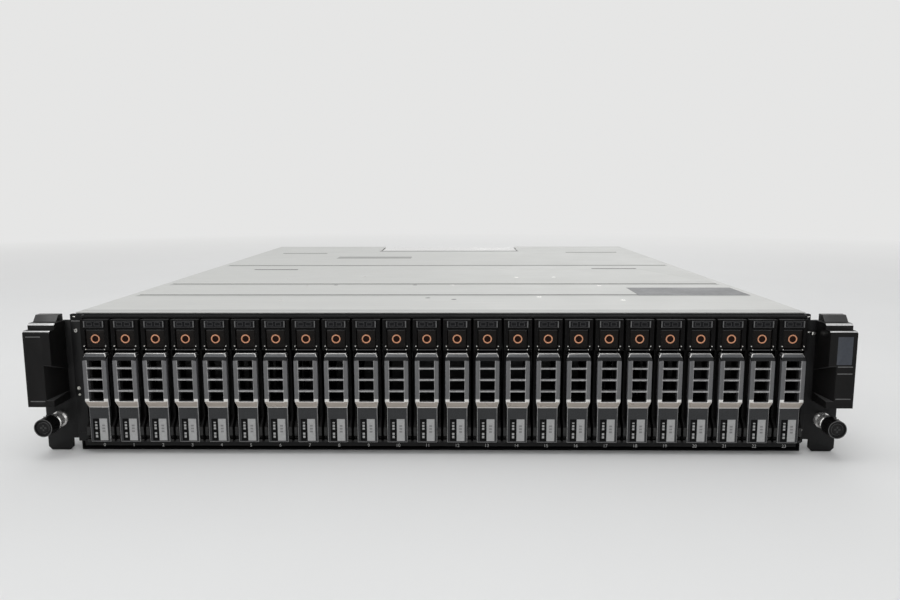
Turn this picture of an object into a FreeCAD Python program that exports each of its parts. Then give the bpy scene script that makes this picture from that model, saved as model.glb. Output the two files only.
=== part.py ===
import FreeCAD, Part
import os
import re
import Sketcher

# Two-unit rack storage array with twenty-four upright drive carriers across the front.
# Millimetres, +Z up, +X to the right seen from the front, +Y towards the rear.
# The origin is on the underside, midway across, in the plane of the rack posts.

SIZES = {
    # enclosure
    "body_width": 444.0,
    "body_height": 85.4,
    "body_depth": 536.0,
    "cover_front": 5.0,
    "cover_sheet": 1.0,
    "cover_flange": 12.0,
    "bead_width": 5.0,
    "bead_depth": 0.6,
    "bead_margin": 6.0,
    "first_bead": 79.0,
    "second_bead": 142.0,
    "third_bead": 290.0,
    "notch_width": 168.0,
    "notch_depth": 66.0,
    "sheet_wall": 1.2,
    "tray_front": -1.0,
    # drive cage
    "bay_count": 24,
    "post_width": 2.3,
    "bay_shift": 2.4,
    "bay_floor": 7.6,
    "cage_sheet": 1.0,
    "foot_setback": 20.0,
    "front_reach": 5.5,
    "sill_low": 4.2,
    "sill_margin": 4.5,
    "cage_overrun": 1.6,
    "guide_width": 2.4,
    "guide_height": 3.0,
    "guide_setback": 8.0,
    "slide_gap": 0.3,
    # drive
    "drive_length": 100.4,
    "drive_gap": 3.0,
    "drive_front": 34.0,
    # carrier sled
    "bay_gap": 1.4,
    "rail_gap": 0.8,
    "rail_height": 2.575,
    "rail_short": 6.4,
    "wall_front": -4.0,
    "wall_back": 4.0,
    "head_front": -8.8,
    "head_height": 18.5,
    "arm_front": -9.5,
    "arm_top": 17.2,
    "arm_slope": 5.5,
    "vent_width": 10.4,
    "vent_low": 33.2,
    "vent_drop": 5.9,
    # release button and indicator window
    "button_side": 11.2,
    "button_drop": 11.7,
    "button_front": -8.0,
    "button_back": -4.5,
    "ring_radius": 2.75,
    "ring_hole": 1.9,
    "ring_relief": 0.4,
    "ring_sides": 6,
    "lens_width": 12.6,
    "lens_drop": 0.4,
    "lens_height": 4.4,
    "lens_front": -9.4,
    "lens_back": -7.2,
    "part_gap": 0.2,
    # carrier handle
    "handle_inset": 1.3,
    "panel_inset": 0.95,
    "lip_inset": 1.25,
    "handle_gap": 1.6,
    "lip_height": 4.1,
    "lip_back": -5.0,
    "lip_front": -9.6,
    "catch_height": 1.6,
    "ladder_front": -12.0,
    "ladder_back": -8.6,
    "chin_top": 33.7,
    "chin_low": 29.4,
    "panel_front": -9.5,
    "panel_back": -6.5,
    "rail_strip": 2.6,
    "rung_count": 3,
    "rung_height": 1.0,
    "head_window": 4.2,
    "pivot_y": -8.0,
    "pivot_z": 10.7,
    "pin_radius": 1.0,
    "pin_gap": 0.15,
    "pin_sides": 6,
    # midplane board
    "board_gap": 10.0,
    "board_thickness": 2.4,
    "board_drop": 1.0,
    "slot_width": 5.0,
    "slot_low": 18.0,
    "slot_high": 62.0,
    "plug_width": 5.2,
    "plug_length": 33.0,
    "plug_low": 24.2,
    # rack ears
    "ear_reach": 20.3,
    "ear_plate": 2.0,
    "ear_low": 0.3,
    "ear_drop": 0.2,
    "ear_flange_depth": 46.0,
    "ear_flange_low": 13.2,
    "ear_flange_drop": 15.4,
    "tab_offset": 4.9,
    "tab_corner": 2.0,
    "tab_height": 7.8,
    "cap_offset": 4.6,
    "tower_offset": 6.5,
    "cap_front": -20.0,
    "cap_low": 32.5,
    "cap_drop": 7.2,
    "cap_bevel": 1.2,
    "step_run": 6.0,
    "step_rise": 3.5,
    "scoop_depth": 4.6,
    "scoop_low": 38.0,
    "scoop_high": 51.5,
    "scoop_flare": 6.0,
    "scoop_sill": 1.5,
    "screw_offset": 11.55,
    "screw_z": 20.2,
    "thread_radius": 2.4,
    "thread_end": 13.0,
    "neck_radius": 2.0,
    "neck_sides": 8,
    "knob_radius": 5.4,
    "knob_sides": 20,
    "knob_front": -21.8,
    "knob_back": -12.6,
    "ferrule_radius": 4.9,
    "ferrule_sides": 12,
    "ferrule_front": -12.0,
    # module cage at the rear
    "partition_gap": 13.6,
    "module_gap": 44.0,
    "power_width": 124.9,
    "shelf_sheet": 1.0,
    "module_sheet": 1.0,
    "board_margin": 6.0,
    "circuit_sheet": 1.6,
    # power and cooling module
    "fan_clear": 3.3,
    "fan_sides": 24,
    "fan_depth": 32.0,
    "fan_offset": -20.0,
    "frame_wall": 3.0,
    "strut_sheet": 2.0,
    "strut_height": 10.0,
    "hub_radius": 15.0,
    "blade_count": 7,
    "blade_chord": 18.0,
    "blade_sheet": 1.6,
    "blade_gap": 1.2,
    "blade_twist": 55.0,
    "grille_slots": 9,
    "grille_slot": 4.6,
    "inlet_x": 41.0,
    "inlet_z": 18.0,
    "inlet_width": 27.6,
    "inlet_height": 20.0,
    "inlet_depth": 17.0,
    "inlet_wall": 1.6,
    "prong_width": 2.0,
    "prong_height": 4.0,
    "prong_spacing": 7.0,
    "prong_setback": 4.6,
    "grip_x": 42.0,
    "grip_width": 12.0,
    "grip_low": 40.0,
    "grip_drop": 4.1,
    "grip_reach": 24.0,
    "grip_bar": 5.0,
    "latch_width": 14.0,
    "latch_height": 7.0,
    "latch_reach": 9.0,
    "supply_length": 240.0,
    "sink_width": 24.0,
    "sink_height": 30.0,
    # controller module
    "port_width": 24.0,
    "port_height": 10.6,
    "port_reach": 3.0,
    "port_wall": 1.6,
    "port_depth": 14.0,
    "port_spacing": 42.0,
    "port_z": 15.0,
    "lever_width": 30.0,
    "lever_height": 5.0,
    "lever_reach": 12.0,
    "lever_drop": 7.5,
    "lever_inset": 27.0,
}

doc = FreeCAD.newDocument("storage_array")
sheet = doc.addObject("Spreadsheet::Sheet", "sizes")
for row, (alias, number) in enumerate(SIZES.items(), start=1):
    sheet.set(f"A{row}", alias.replace("_", " "))
    sheet.set(f"B{row}", str(number))
    sheet.setAlias(f"B{row}", alias)
doc.recompute()

# Levels and faces that several pieces share, as formulas of the sheet's sizes.
WALL_OUT = "(body_width / 2 - cover_sheet)"
WALL_IN = f"({WALL_OUT} - sheet_wall)"
ROOF = "(body_height - cover_sheet)"
REAR = "(cover_front + body_depth)"
BAY_ROOF = f"({ROOF} - part_gap - cage_sheet)"
BAY_PITCH = f"(2 * ({WALL_OUT} - post_width - slide_gap - bay_shift) / bay_count)"
BAYS_LEFT = f"(bay_shift - bay_count * {BAY_PITCH} / 2)"
BAYS_RIGHT = f"(bay_shift + bay_count * {BAY_PITCH} / 2)"
RAIL_LOW = "(bay_floor + slide_gap)"
RAIL_TOP = f"({BAY_ROOF} - slide_gap)"
RAIL_WIDTH = f"({BAY_PITCH} - guide_width - 2 * rail_gap)"
DRIVE_LOW = f"({RAIL_LOW} + rail_height)"
DRIVE_TOP = f"({RAIL_TOP} - rail_height)"
DRIVE_BACK = "(drive_front + drive_length)"
RAIL_END = f"({DRIVE_BACK} - rail_short)"
CAGE_BACK = f"({DRIVE_BACK} + cage_overrun)"
CARRIER_WIDTH = f"({BAY_PITCH} - bay_gap)"
HEAD_BOTTOM = f"({RAIL_TOP} - head_height)"
BUTTON_CENTRE = f"({RAIL_TOP} - button_drop)"
LENS_TOP = f"({RAIL_TOP} - lens_drop)"
LENS_LOW = f"({LENS_TOP} - lens_height)"
HANDLE_WIDTH = f"({CARRIER_WIDTH} - 2 * handle_inset)"
PANEL_WIDTH = f"({HANDLE_WIDTH} - 2 * panel_inset)"
HANDLE_TOP = f"({HEAD_BOTTOM} - handle_gap)"
LIP_LOW = f"({HANDLE_TOP} - lip_height)"
BOARD_FRONT = f"({CAGE_BACK} + board_gap)"
BOARD_BACK = f"({BOARD_FRONT} + board_thickness)"
EAR_END = f"({WALL_OUT} + ear_reach)"
EAR_TOP = "(body_height - ear_drop)"
TAB_INNER = f"({WALL_OUT} + tab_offset)"
CAP_INNER = f"({WALL_OUT} + cap_offset)"
CAP_TOP = f"({EAR_TOP} - cap_drop)"
TOWER_INNER = f"({WALL_OUT} + tower_offset)"
SCREW_X = f"({WALL_OUT} + screw_offset)"
PARTITION_FRONT = f"({BOARD_BACK} + partition_gap)"
PARTITION_OUT = f"({WALL_IN} - power_width - 2 * slide_gap)"
PARTITION_IN = f"({PARTITION_OUT} - shelf_sheet)"
MODULE_FRONT = f"({PARTITION_FRONT} + module_gap)"
MODULE_FLOOR = "(sheet_wall + slide_gap)"
MODULE_ROOF = f"({ROOF} - slide_gap)"
POWER_CENTRE = f"(({WALL_IN} + {PARTITION_OUT}) / 2)"
FAN_RADIUS = f"(({MODULE_ROOF} - {MODULE_FLOOR}) / 2 - module_sheet - fan_clear - frame_wall)"
GRIP_HIGH = f"({MODULE_ROOF} - grip_drop)"
CONTROLLER_WIDTH = f"(2 * ({PARTITION_IN} - slide_gap))"
SHELF_LOW = f"((sheet_wall + {ROOF} - shelf_sheet) / 2)"
CONTROLLER_HEIGHT = f"({SHELF_LOW} - sheet_wall - 2 * slide_gap)"
LEVER_Z = f"({CONTROLLER_HEIGHT} - lever_drop)"

AXIS_TURN = {
    "x": FreeCAD.Rotation(FreeCAD.Vector(0, 1, 0), 90),
    "y": FreeCAD.Rotation(FreeCAD.Vector(1, 0, 0), -90),
}
subparts = []


def formula(text):
    """Expression in which each size name refers to its cell."""
    return re.sub(r"[a-z_]+", lambda word: f"sizes.{word[0]}" if word[0] in SIZES else word[0], text)


def value(text):
    """Number that a formula gives at the present sizes."""
    return float(sheet.evalExpression(formula(text)))


def place(item, x="0", y="0", z="0"):
    """Bind an object's position to three formulas."""
    for axis, text in zip("xyz", (x, y, z)):
        item.setExpression(f"Placement.Base.{axis}", formula(text))
    return item


def block(name, x, y, z):
    """Box between a low and a high formula along each axis."""
    box = doc.addObject("Part::Box", name)
    for side, (low, high) in zip(("Length", "Width", "Height"), (x, y, z)):
        box.setExpression(side, formula(f"({high}) - ({low})"))
    return place(box, x[0], y[0], z[0])


def rod(name, axis, radius, length, x="0", y="0", z="0"):
    """Cylinder along the x or y axis from a start point."""
    cylinder = doc.addObject("Part::Cylinder", name)
    cylinder.Placement.Rotation = AXIS_TURN[axis]
    cylinder.setExpression("Radius", formula(radius))
    cylinder.setExpression("Height", formula(length))
    return place(cylinder, x, y, z)


def prism(name, axis, sides, radius, length, x="0", y="0", z="0"):
    """Many-sided rod along the x or y axis, for small round details."""
    many_sided = doc.addObject("Part::Prism", name)
    many_sided.Placement.Rotation = AXIS_TURN[axis]
    many_sided.setExpression("Polygon", formula(sides))
    many_sided.setExpression("Circumradius", formula(radius))
    many_sided.setExpression("Height", formula(length))
    return place(many_sided, x, y, z)


def flared(name, y, front_x, front_z, back_x, back_z):
    """Block whose sides run straight from a rectangle at its front to another at its back."""
    wedge = doc.addObject("Part::Wedge", name)
    faces = zip(("Y", "X", "Z", "X2", "Z2"), (y, front_x, front_z, back_x, back_z))
    for side, (low, high) in faces:
        wedge.setExpression(f"{side}min", formula(low))
        wedge.setExpression(f"{side}max", formula(high))
    return wedge


def across(width):
    """Range of a given width, centred on zero."""
    return f"-({width}) / 2", f"({width}) / 2"


def sided(side, low, high):
    """Range between two distances from the middle, on the left (-1) or the right (1)."""
    return (low, high) if side > 0 else (f"-({high})", f"-({low})")


def cut(name, base, tools):
    """Base with every tool taken away."""
    tool = tools[0] if len(tools) == 1 else fuse(f"{name}_tools", tools)
    result = doc.addObject("Part::Cut", name)
    result.Base = base
    result.Tool = tool
    return result


def fuse(name, pieces):
    """Pieces joined into one."""
    result = doc.addObject("Part::MultiFuse", name)
    result.Shapes = pieces
    return result


def common(name, first, second):
    """What two pieces share."""
    result = doc.addObject("Part::Common", name)
    result.Base = first
    result.Tool = second
    return result


def group(label, solids):
    """Named sub-part that keeps its solids separate."""
    result = doc.addObject("Part::Compound", label)
    result.Links = solids
    result.Label = label
    subparts.append(result)
    return result


def outline(body, plane, loops):
    """Sketch of closed straight-sided loops whose corners are bound to formulas."""
    sketch = body.newObject("Sketcher::SketchObject", f"{body.Name}_outline")
    support = next(item for item in body.Origin.OriginFeatures if item.Role == plane)
    sketch.AttachmentSupport = (support, [""])
    sketch.MapMode = "FlatFace"
    for loop in loops:
        first = sketch.GeometryCount
        count = len(loop)
        corners = [FreeCAD.Vector(value(right), value(up), 0) for right, up in loop]
        for index in range(count):
            edge = Part.LineSegment(corners[index], corners[(index + 1) % count])
            sketch.addGeometry(edge, False)
        for index in range(count):
            following = first + (index + 1) % count
            sketch.addConstraint(Sketcher.Constraint("Coincident", first + index, 2, following, 1))
        for index, corner in enumerate(corners):
            distances = (("DistanceX", corner.x, loop[index][0]), ("DistanceY", corner.y, loop[index][1]))
            for kind, size, text in distances:
                number = sketch.addConstraint(Sketcher.Constraint(kind, -1, 1, first + index, 1, size))
                sketch.setExpression(f"Constraints[{number}]", formula(text))
    return sketch


def pad(name, plane, loops, length, reverse=False):
    """Body made by padding an outline."""
    body = doc.addObject("PartDesign::Body", name)
    feature = body.newObject("PartDesign::Pad", f"{name}_pad")
    feature.Profile = outline(body, plane, loops)
    feature.Reversed = reverse
    feature.setExpression("Length", formula(length))
    return body


def pad_x(name, loops, x):
    """Outline in Y and Z, padded along X between two formulas."""
    return place(pad(name, "YZ_Plane", loops, f"({x[1]}) - ({x[0]})"), x=x[0])


def pad_y(name, loops, y):
    """Outline in X and Z, padded along Y between two formulas."""
    return place(pad(name, "XZ_Plane", loops, f"({y[1]}) - ({y[0]})", reverse=True), y=y[0])


def rectangle(x, z):
    """Closed loop round a range of two coordinates."""
    return [(x[0], z[0]), (x[1], z[0]), (x[1], z[1]), (x[0], z[1])]


def bay_centre(bay):
    """Middle of a bay across the front."""
    return f"{BAYS_LEFT} + ({bay} + 1 / 2) * {BAY_PITCH}"


def base_tray():
    """Floor and side walls folded from one sheet, with the module partitions riveted in."""
    section = [
        (f"-{WALL_OUT}", "0"), (WALL_OUT, "0"), (WALL_OUT, ROOF), (WALL_IN, ROOF), (WALL_IN, "sheet_wall"),
        (f"-{WALL_IN}", "sheet_wall"), (f"-{WALL_IN}", ROOF), (f"-{WALL_OUT}", ROOF),
    ]
    group("base_tray", [pad_y("folded_tray", [section], ("tray_front", REAR)), module_partitions()])


def top_cover():
    """Lid with side and front flanges, three cross beads and a notch at the rear."""
    edge = "body_width / 2"
    flange_low = f"{ROOF} - cover_flange"
    section = [
        (f"-{edge}", flange_low), (f"-{WALL_OUT}", flange_low), (f"-{WALL_OUT}", ROOF), (WALL_OUT, ROOF),
        (WALL_OUT, flange_low), (edge, flange_low), (edge, "body_height"), (f"-{edge}", "body_height"),
    ]
    lid = pad_y("lid", [section], ("cover_front", REAR))
    beads = [
        block(f"bead_{start}", across("body_width - 2 * bead_margin"), (start, f"{start} + bead_width"),
              ("body_height - bead_depth", "body_height + bead_depth"))
        for start in ("first_bead", "second_bead", "third_bead")
    ]
    notch = block("rear_notch", across("notch_width"), (f"{REAR} - notch_depth", f"{REAR} + cover_sheet"),
                  (f"{ROOF} - cover_sheet", "body_height + cover_sheet"))
    group("top_cover", [cut("beaded_lid", lid, beads + [notch])])


def drive_cage():
    """Black frame round the bays: guide floor on two feet, guide roof, side walls, posts and a sill."""
    width = (f"-{WALL_IN}", WALL_IN)
    sill_width = across(f"2 * ({WALL_OUT} - sill_margin)")
    floor_low = "bay_floor - cage_sheet"
    flange_front = "cover_front + cover_sheet"
    frame = [
        block("guide_floor", width, ("tray_front", CAGE_BACK), (floor_low, "bay_floor")),
        block("sill_floor", sill_width, ("-front_reach", "tray_front"), (floor_low, "bay_floor")),
        block("sill", sill_width, ("-front_reach", "cage_sheet - front_reach"), ("sill_low", "bay_floor")),
        block("front_foot", width, ("foot_setback", "foot_setback + cage_sheet"), ("sheet_wall", floor_low)),
        block("rear_foot", width, (f"{CAGE_BACK} - cage_sheet", CAGE_BACK), ("sheet_wall", floor_low)),
        block("guide_roof", width, ("wall_front", CAGE_BACK), (BAY_ROOF, f"{BAY_ROOF} + cage_sheet")),
        block("roof_flange", width, (flange_front, f"{flange_front} + cage_sheet"), (BAY_ROOF, ROOF)),
    ]
    bay_edges = {"left": (f"-({BAYS_LEFT} - slide_gap)", -1), "right": (f"{BAYS_RIGHT} + slide_gap", 1)}
    for name, (edge, side) in bay_edges.items():
        frame.append(block(f"cage_{name}_wall", sided(side, f"{WALL_IN} - cage_sheet", WALL_IN),
                           ("tray_front", CAGE_BACK), ("bay_floor", BAY_ROOF)))
        frame.append(block(f"{name}_post", sided(side, edge, WALL_OUT), ("wall_front", "tray_front"),
                           (floor_low, "body_height")))
    guides = []
    for gap in range(1, int(value("bay_count"))):
        middle = f"{BAYS_LEFT} + {gap} * {BAY_PITCH}"
        span = (f"{middle} - guide_width / 2", f"{middle} + guide_width / 2")
        run = ("guide_setback", CAGE_BACK)
        guides.append(block(f"floor_guide_{gap}", span, run, ("bay_floor", "bay_floor + guide_height")))
        guides.append(block(f"roof_guide_{gap}", span, run, (f"{BAY_ROOF} - guide_height", BAY_ROOF)))
    group("drive_cage", [fuse("guide_frame", frame + guides)])


def carrier_sled():
    """Moulded front with two rails: a side outline, hollowed for the handle, the button and air."""
    side = [
        (RAIL_END, RAIL_LOW), ("arm_front", RAIL_LOW), ("arm_front", "arm_top"),
        ("wall_front", "arm_top + arm_slope"), ("wall_front", HEAD_BOTTOM), ("head_front", HEAD_BOTTOM),
        ("head_front", RAIL_TOP), (RAIL_END, RAIL_TOP), (RAIL_END, DRIVE_TOP), ("wall_back", DRIVE_TOP),
        ("wall_back", DRIVE_LOW), (RAIL_END, DRIVE_LOW),
    ]
    shell = pad_x("sled_side", [side], across(CARRIER_WIDTH))
    arm_space = block("arm_space", across(f"{PANEL_WIDTH} + 2 * part_gap"),
                      ("arm_front - part_gap", "wall_front"),
                      (f"{RAIL_LOW} - part_gap", "arm_top + arm_slope + part_gap"))
    past_rails = (f"{RAIL_LOW} - part_gap", f"{RAIL_TOP} + part_gap")
    sides = [
        block(f"rail_side_{name}", sided(side_sign, f"{RAIL_WIDTH} / 2", f"{CARRIER_WIDTH} / 2 + part_gap"),
              ("wall_back", f"{RAIL_END} + part_gap"), past_rails)
        for name, side_sign in (("left", -1), ("right", 1))
    ]
    vent = block("sled_vent", across("vent_width"), ("wall_front - part_gap", "wall_back + part_gap"),
                 ("vent_low", f"{HEAD_BOTTOM} - vent_drop"))
    half_well = "button_side / 2 + part_gap"
    button_well = block("button_well", (f"-({half_well})", half_well),
                        ("head_front - part_gap", "button_back"),
                        (f"{BUTTON_CENTRE} - ({half_well})", f"{BUTTON_CENTRE} + {half_well}"))
    lens_well = block("lens_well", across("lens_width"), ("head_front - part_gap", "lens_back"),
                      (LENS_LOW, LENS_TOP))
    half_slot = "(pin_radius + pin_gap)"
    pin_slots = block("pin_slots", across(f"{CARRIER_WIDTH} + 2 * part_gap"),
                      ("arm_front - part_gap", f"pivot_y + {half_slot}"),
                      (f"pivot_z - {half_slot}", f"pivot_z + {half_slot}"))
    return cut("carrier_sled", shell, [arm_space, vent, button_well, lens_well, pin_slots] + sides)


def drive_unit():
    """Drive of the 2.5-inch size, standing on its long edge between the rails."""
    width = across(f"{BAY_PITCH} - drive_gap")
    return block("drive_unit", width, ("drive_front", DRIVE_BACK), (DRIVE_LOW, DRIVE_TOP))


def release_button():
    """Square push button with a raised ring on its face."""
    square = block("button_square", across("button_side"), ("button_front", "button_back"),
                   (f"{BUTTON_CENTRE} - button_side / 2", f"{BUTTON_CENTRE} + button_side / 2"))
    front = "button_front - ring_relief"
    ring = prism("button_ring", "y", "ring_sides", "ring_radius", "ring_relief", y=front, z=BUTTON_CENTRE)
    eye = prism("button_eye", "y", "ring_sides", "ring_hole", "2 * ring_relief", y=front, z=BUTTON_CENTRE)
    return cut("release_button", fuse("ringed_button", [square, ring]), [eye])


def indicator_window():
    """Window over the two lights above the button."""
    return block("indicator_window", across("lens_width"), ("lens_front", "lens_back"), (LENS_LOW, LENS_TOP))


def carrier_handle():
    """Ladder lever: a side profile shared with a front outline that has the air windows, and two pins."""
    side = [
        ("lip_back", HANDLE_TOP), ("lip_front", HANDLE_TOP), ("ladder_front", LIP_LOW),
        ("ladder_front", "chin_top"), ("panel_front", "chin_low"), ("panel_front", RAIL_LOW),
        ("panel_back", RAIL_LOW), ("panel_back", "chin_low"), ("ladder_back", "chin_top"),
        ("ladder_back", f"{HANDLE_TOP} - catch_height"), ("lip_back", f"{HANDLE_TOP} - catch_height"),
    ]
    half_handle = f"{HANDLE_WIDTH} / 2"
    half_lip = f"({half_handle} - lip_inset)"
    half_panel = f"({half_handle} - panel_inset)"
    corner = f"{HANDLE_TOP} - 2 * lip_inset"
    right_edge = [
        (half_lip, HANDLE_TOP), (half_handle, corner), (half_handle, "chin_top"), (half_panel, "chin_low"),
        (half_panel, RAIL_LOW),
    ]
    front = right_edge + [(f"-{x}", z) for x, z in reversed(right_edge)]
    opening = across(f"{HANDLE_WIDTH} - 2 * rail_strip")
    rungs = int(value("rung_count"))
    rung_step = f"(({LIP_LOW} - head_window - chin_top) / {rungs})"
    windows = [rectangle(opening, (f"{LIP_LOW} - head_window", LIP_LOW))]
    for step in range(rungs):
        low = f"chin_top + {step} * {rung_step}"
        windows.append(rectangle(opening, (low, f"{low} + {rung_step} - rung_height")))
    thickness = ("ladder_front - part_gap", "lip_back + part_gap")
    lever = common("lever", pad_x("handle_side", [side], across(HANDLE_WIDTH)),
                   pad_y("handle_front", [front] + windows, thickness))
    reach = f"{CARRIER_WIDTH} - 2 * part_gap"
    pin = prism("pivot_pin", "x", "pin_sides", "pin_radius", reach, x=f"-({reach}) / 2", y="pivot_y",
                z="pivot_z")
    return fuse("carrier_lever", [lever, pin])


def drive_bays():
    """One carrier and one handle in each bay."""
    carrier = [carrier_sled(), drive_unit(), release_button(), indicator_window()]
    lever = carrier_handle()
    for bay in range(int(value("bay_count"))):
        place(group(f"drive_carrier_{bay:02d}", carrier), x=bay_centre(bay))
        place(group(f"carrier_handle_{bay:02d}", [lever]), x=bay_centre(bay))


def midplane():
    """Board across the enclosure with air slots, a plug for each drive and four module plugs."""
    board = block("board", (f"-{WALL_IN}", WALL_IN), (BOARD_FRONT, BOARD_BACK),
                  ("sheet_wall", f"{ROOF} - board_drop"))
    slots = []
    plugs = []
    for bay in range(int(value("bay_count"))):
        middle = bay_centre(bay)
        plugs.append(block(f"drive_plug_{bay}", (f"{middle} - plug_width / 2", f"{middle} + plug_width / 2"),
                           (f"{DRIVE_BACK} + slide_gap", BOARD_FRONT),
                           ("plug_low", "plug_low + plug_length")))
    for gap in range(1, int(value("bay_count")), 2):
        middle = f"{BAYS_LEFT} + {gap} * {BAY_PITCH}"
        slots.append(block(f"air_slot_{gap}", (f"{middle} - slot_width / 2", f"{middle} + slot_width / 2"),
                           (f"{BOARD_FRONT} - part_gap", f"{BOARD_BACK} + part_gap"),
                           ("slot_low", "slot_high")))
    group("midplane", [cut("slotted_board", board, slots)] + plugs)


def rack_ear(name, side):
    """Bracket with its mounting plate, the stepped cap in front of it and the thumbscrew's ferrule."""
    plate_front = "-ear_plate"
    ledge = f"({CAP_TOP} + step_rise)"
    corners = [
        (WALL_OUT, "tab_height"), (TAB_INNER, "tab_height"), (TAB_INNER, "ear_low + tab_corner"),
        (f"{TAB_INNER} + tab_corner", "ear_low"), (f"{EAR_END} - tab_corner", "ear_low"),
        (EAR_END, "ear_low + tab_corner"), (EAR_END, EAR_TOP), (TOWER_INNER, EAR_TOP), (TOWER_INNER, ledge),
        (WALL_OUT, ledge),
    ]
    plate = pad_y(f"{name}_plate", [[(f"{side} * ({x})", z) for x, z in corners]], (plate_front, "0"))
    flange = block(f"{name}_flange", sided(side, WALL_OUT, f"{WALL_OUT} + ear_plate"),
                   (plate_front, "ear_flange_depth"), ("ear_flange_low", "body_height - ear_flange_drop"))
    hole = rod(f"{name}_hole", "y", "thread_radius + slide_gap", "3 * ear_plate", x=f"{side} * {SCREW_X}",
               y="-2 * ear_plate", z="screw_z")
    bracket = cut(f"{name}_bracket", fuse(f"{name}_angle", [plate, flange]), [hole])

    profile = [
        ("cap_front", "cap_low"), ("cap_front", f"{CAP_TOP} - cap_bevel"),
        ("cap_front + cap_bevel", CAP_TOP), ("cap_front + step_run", CAP_TOP),
        ("cap_front + step_run", ledge),
        ("cap_front + 2 * step_run", ledge), ("cap_front + 2 * step_run", EAR_TOP),
        (plate_front, EAR_TOP), (plate_front, "cap_low"),
    ]
    solid_cap = pad_x(f"{name}_solid_cap", [profile], sided(side, CAP_INNER, EAR_END))
    scoop = flared(f"{name}_scoop", ("cap_front", plate_front),
                   sided(side, f"{CAP_INNER} - part_gap", f"{CAP_INNER} + scoop_depth"),
                   ("scoop_low - scoop_sill", "scoop_high + scoop_flare"),
                   sided(side, f"{CAP_INNER} - part_gap", CAP_INNER), ("scoop_low", "scoop_high"))
    corner = block(f"{name}_corner", sided(side, f"{CAP_INNER} - part_gap", TOWER_INNER),
                   ("cap_front", plate_front), (ledge, f"{EAR_TOP} + part_gap"))
    cap = cut(f"{name}_cap", solid_cap, [scoop, corner])

    collar = prism(f"{name}_collar", "y", "ferrule_sides", "ferrule_radius",
                   f"{plate_front} - ferrule_front", x=f"{side} * {SCREW_X}", y="ferrule_front", z="screw_z")
    bore = prism(f"{name}_bore", "y", "ferrule_sides", "thread_radius + slide_gap", "-2 * ferrule_front",
                 x=f"{side} * {SCREW_X}", y="2 * ferrule_front", z="screw_z")
    group(name, [bracket, cap, cut(f"{name}_ferrule", collar, [bore])])


def thumbscrew(name, side):
    """Captive screw: a knob in front of the ferrule, a neck through it and the thread behind the plate."""
    knob = prism(f"{name}_knob", "y", "knob_sides", "knob_radius", "knob_back - knob_front", y="knob_front")
    neck = prism(f"{name}_neck", "y", "neck_sides", "neck_radius", "slide_gap - knob_back", y="knob_back")
    thread = rod(f"{name}_thread", "y", "thread_radius", "thread_end - slide_gap", y="slide_gap")
    place(group(name, [fuse(f"{name}_screw", [knob, neck, thread])]), x=f"{side} * {SCREW_X}", z="screw_z")


def module_partitions():
    """Two partitions and a shelf, riveted into the tray, that hold the modules behind the midplane."""
    run = (PARTITION_FRONT, REAR)
    walls = [
        block(f"partition_{name}", sided(side, PARTITION_IN, PARTITION_OUT), run, ("sheet_wall", ROOF))
        for name, side in (("left", -1), ("right", 1))
    ]
    shelf = block("shelf", (f"-{PARTITION_IN}", PARTITION_IN), run,
                  (SHELF_LOW, f"{SHELF_LOW} + shelf_sheet"))
    return fuse("module_partitions", walls + [shelf])


def hollow_case(name, width, height, low):
    """Closed sheet-metal box for a module, and the space inside it."""
    case = block(f"{name}_case", across(width), (MODULE_FRONT, REAR), (low, f"{low} + {height}"))
    space = block(f"{name}_space", across(f"{width} - 2 * module_sheet"),
                  (f"{MODULE_FRONT} + module_sheet", f"{REAR} - module_sheet"),
                  (f"{low} + module_sheet", f"{low} + {height} - module_sheet"))
    return case, space


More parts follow.
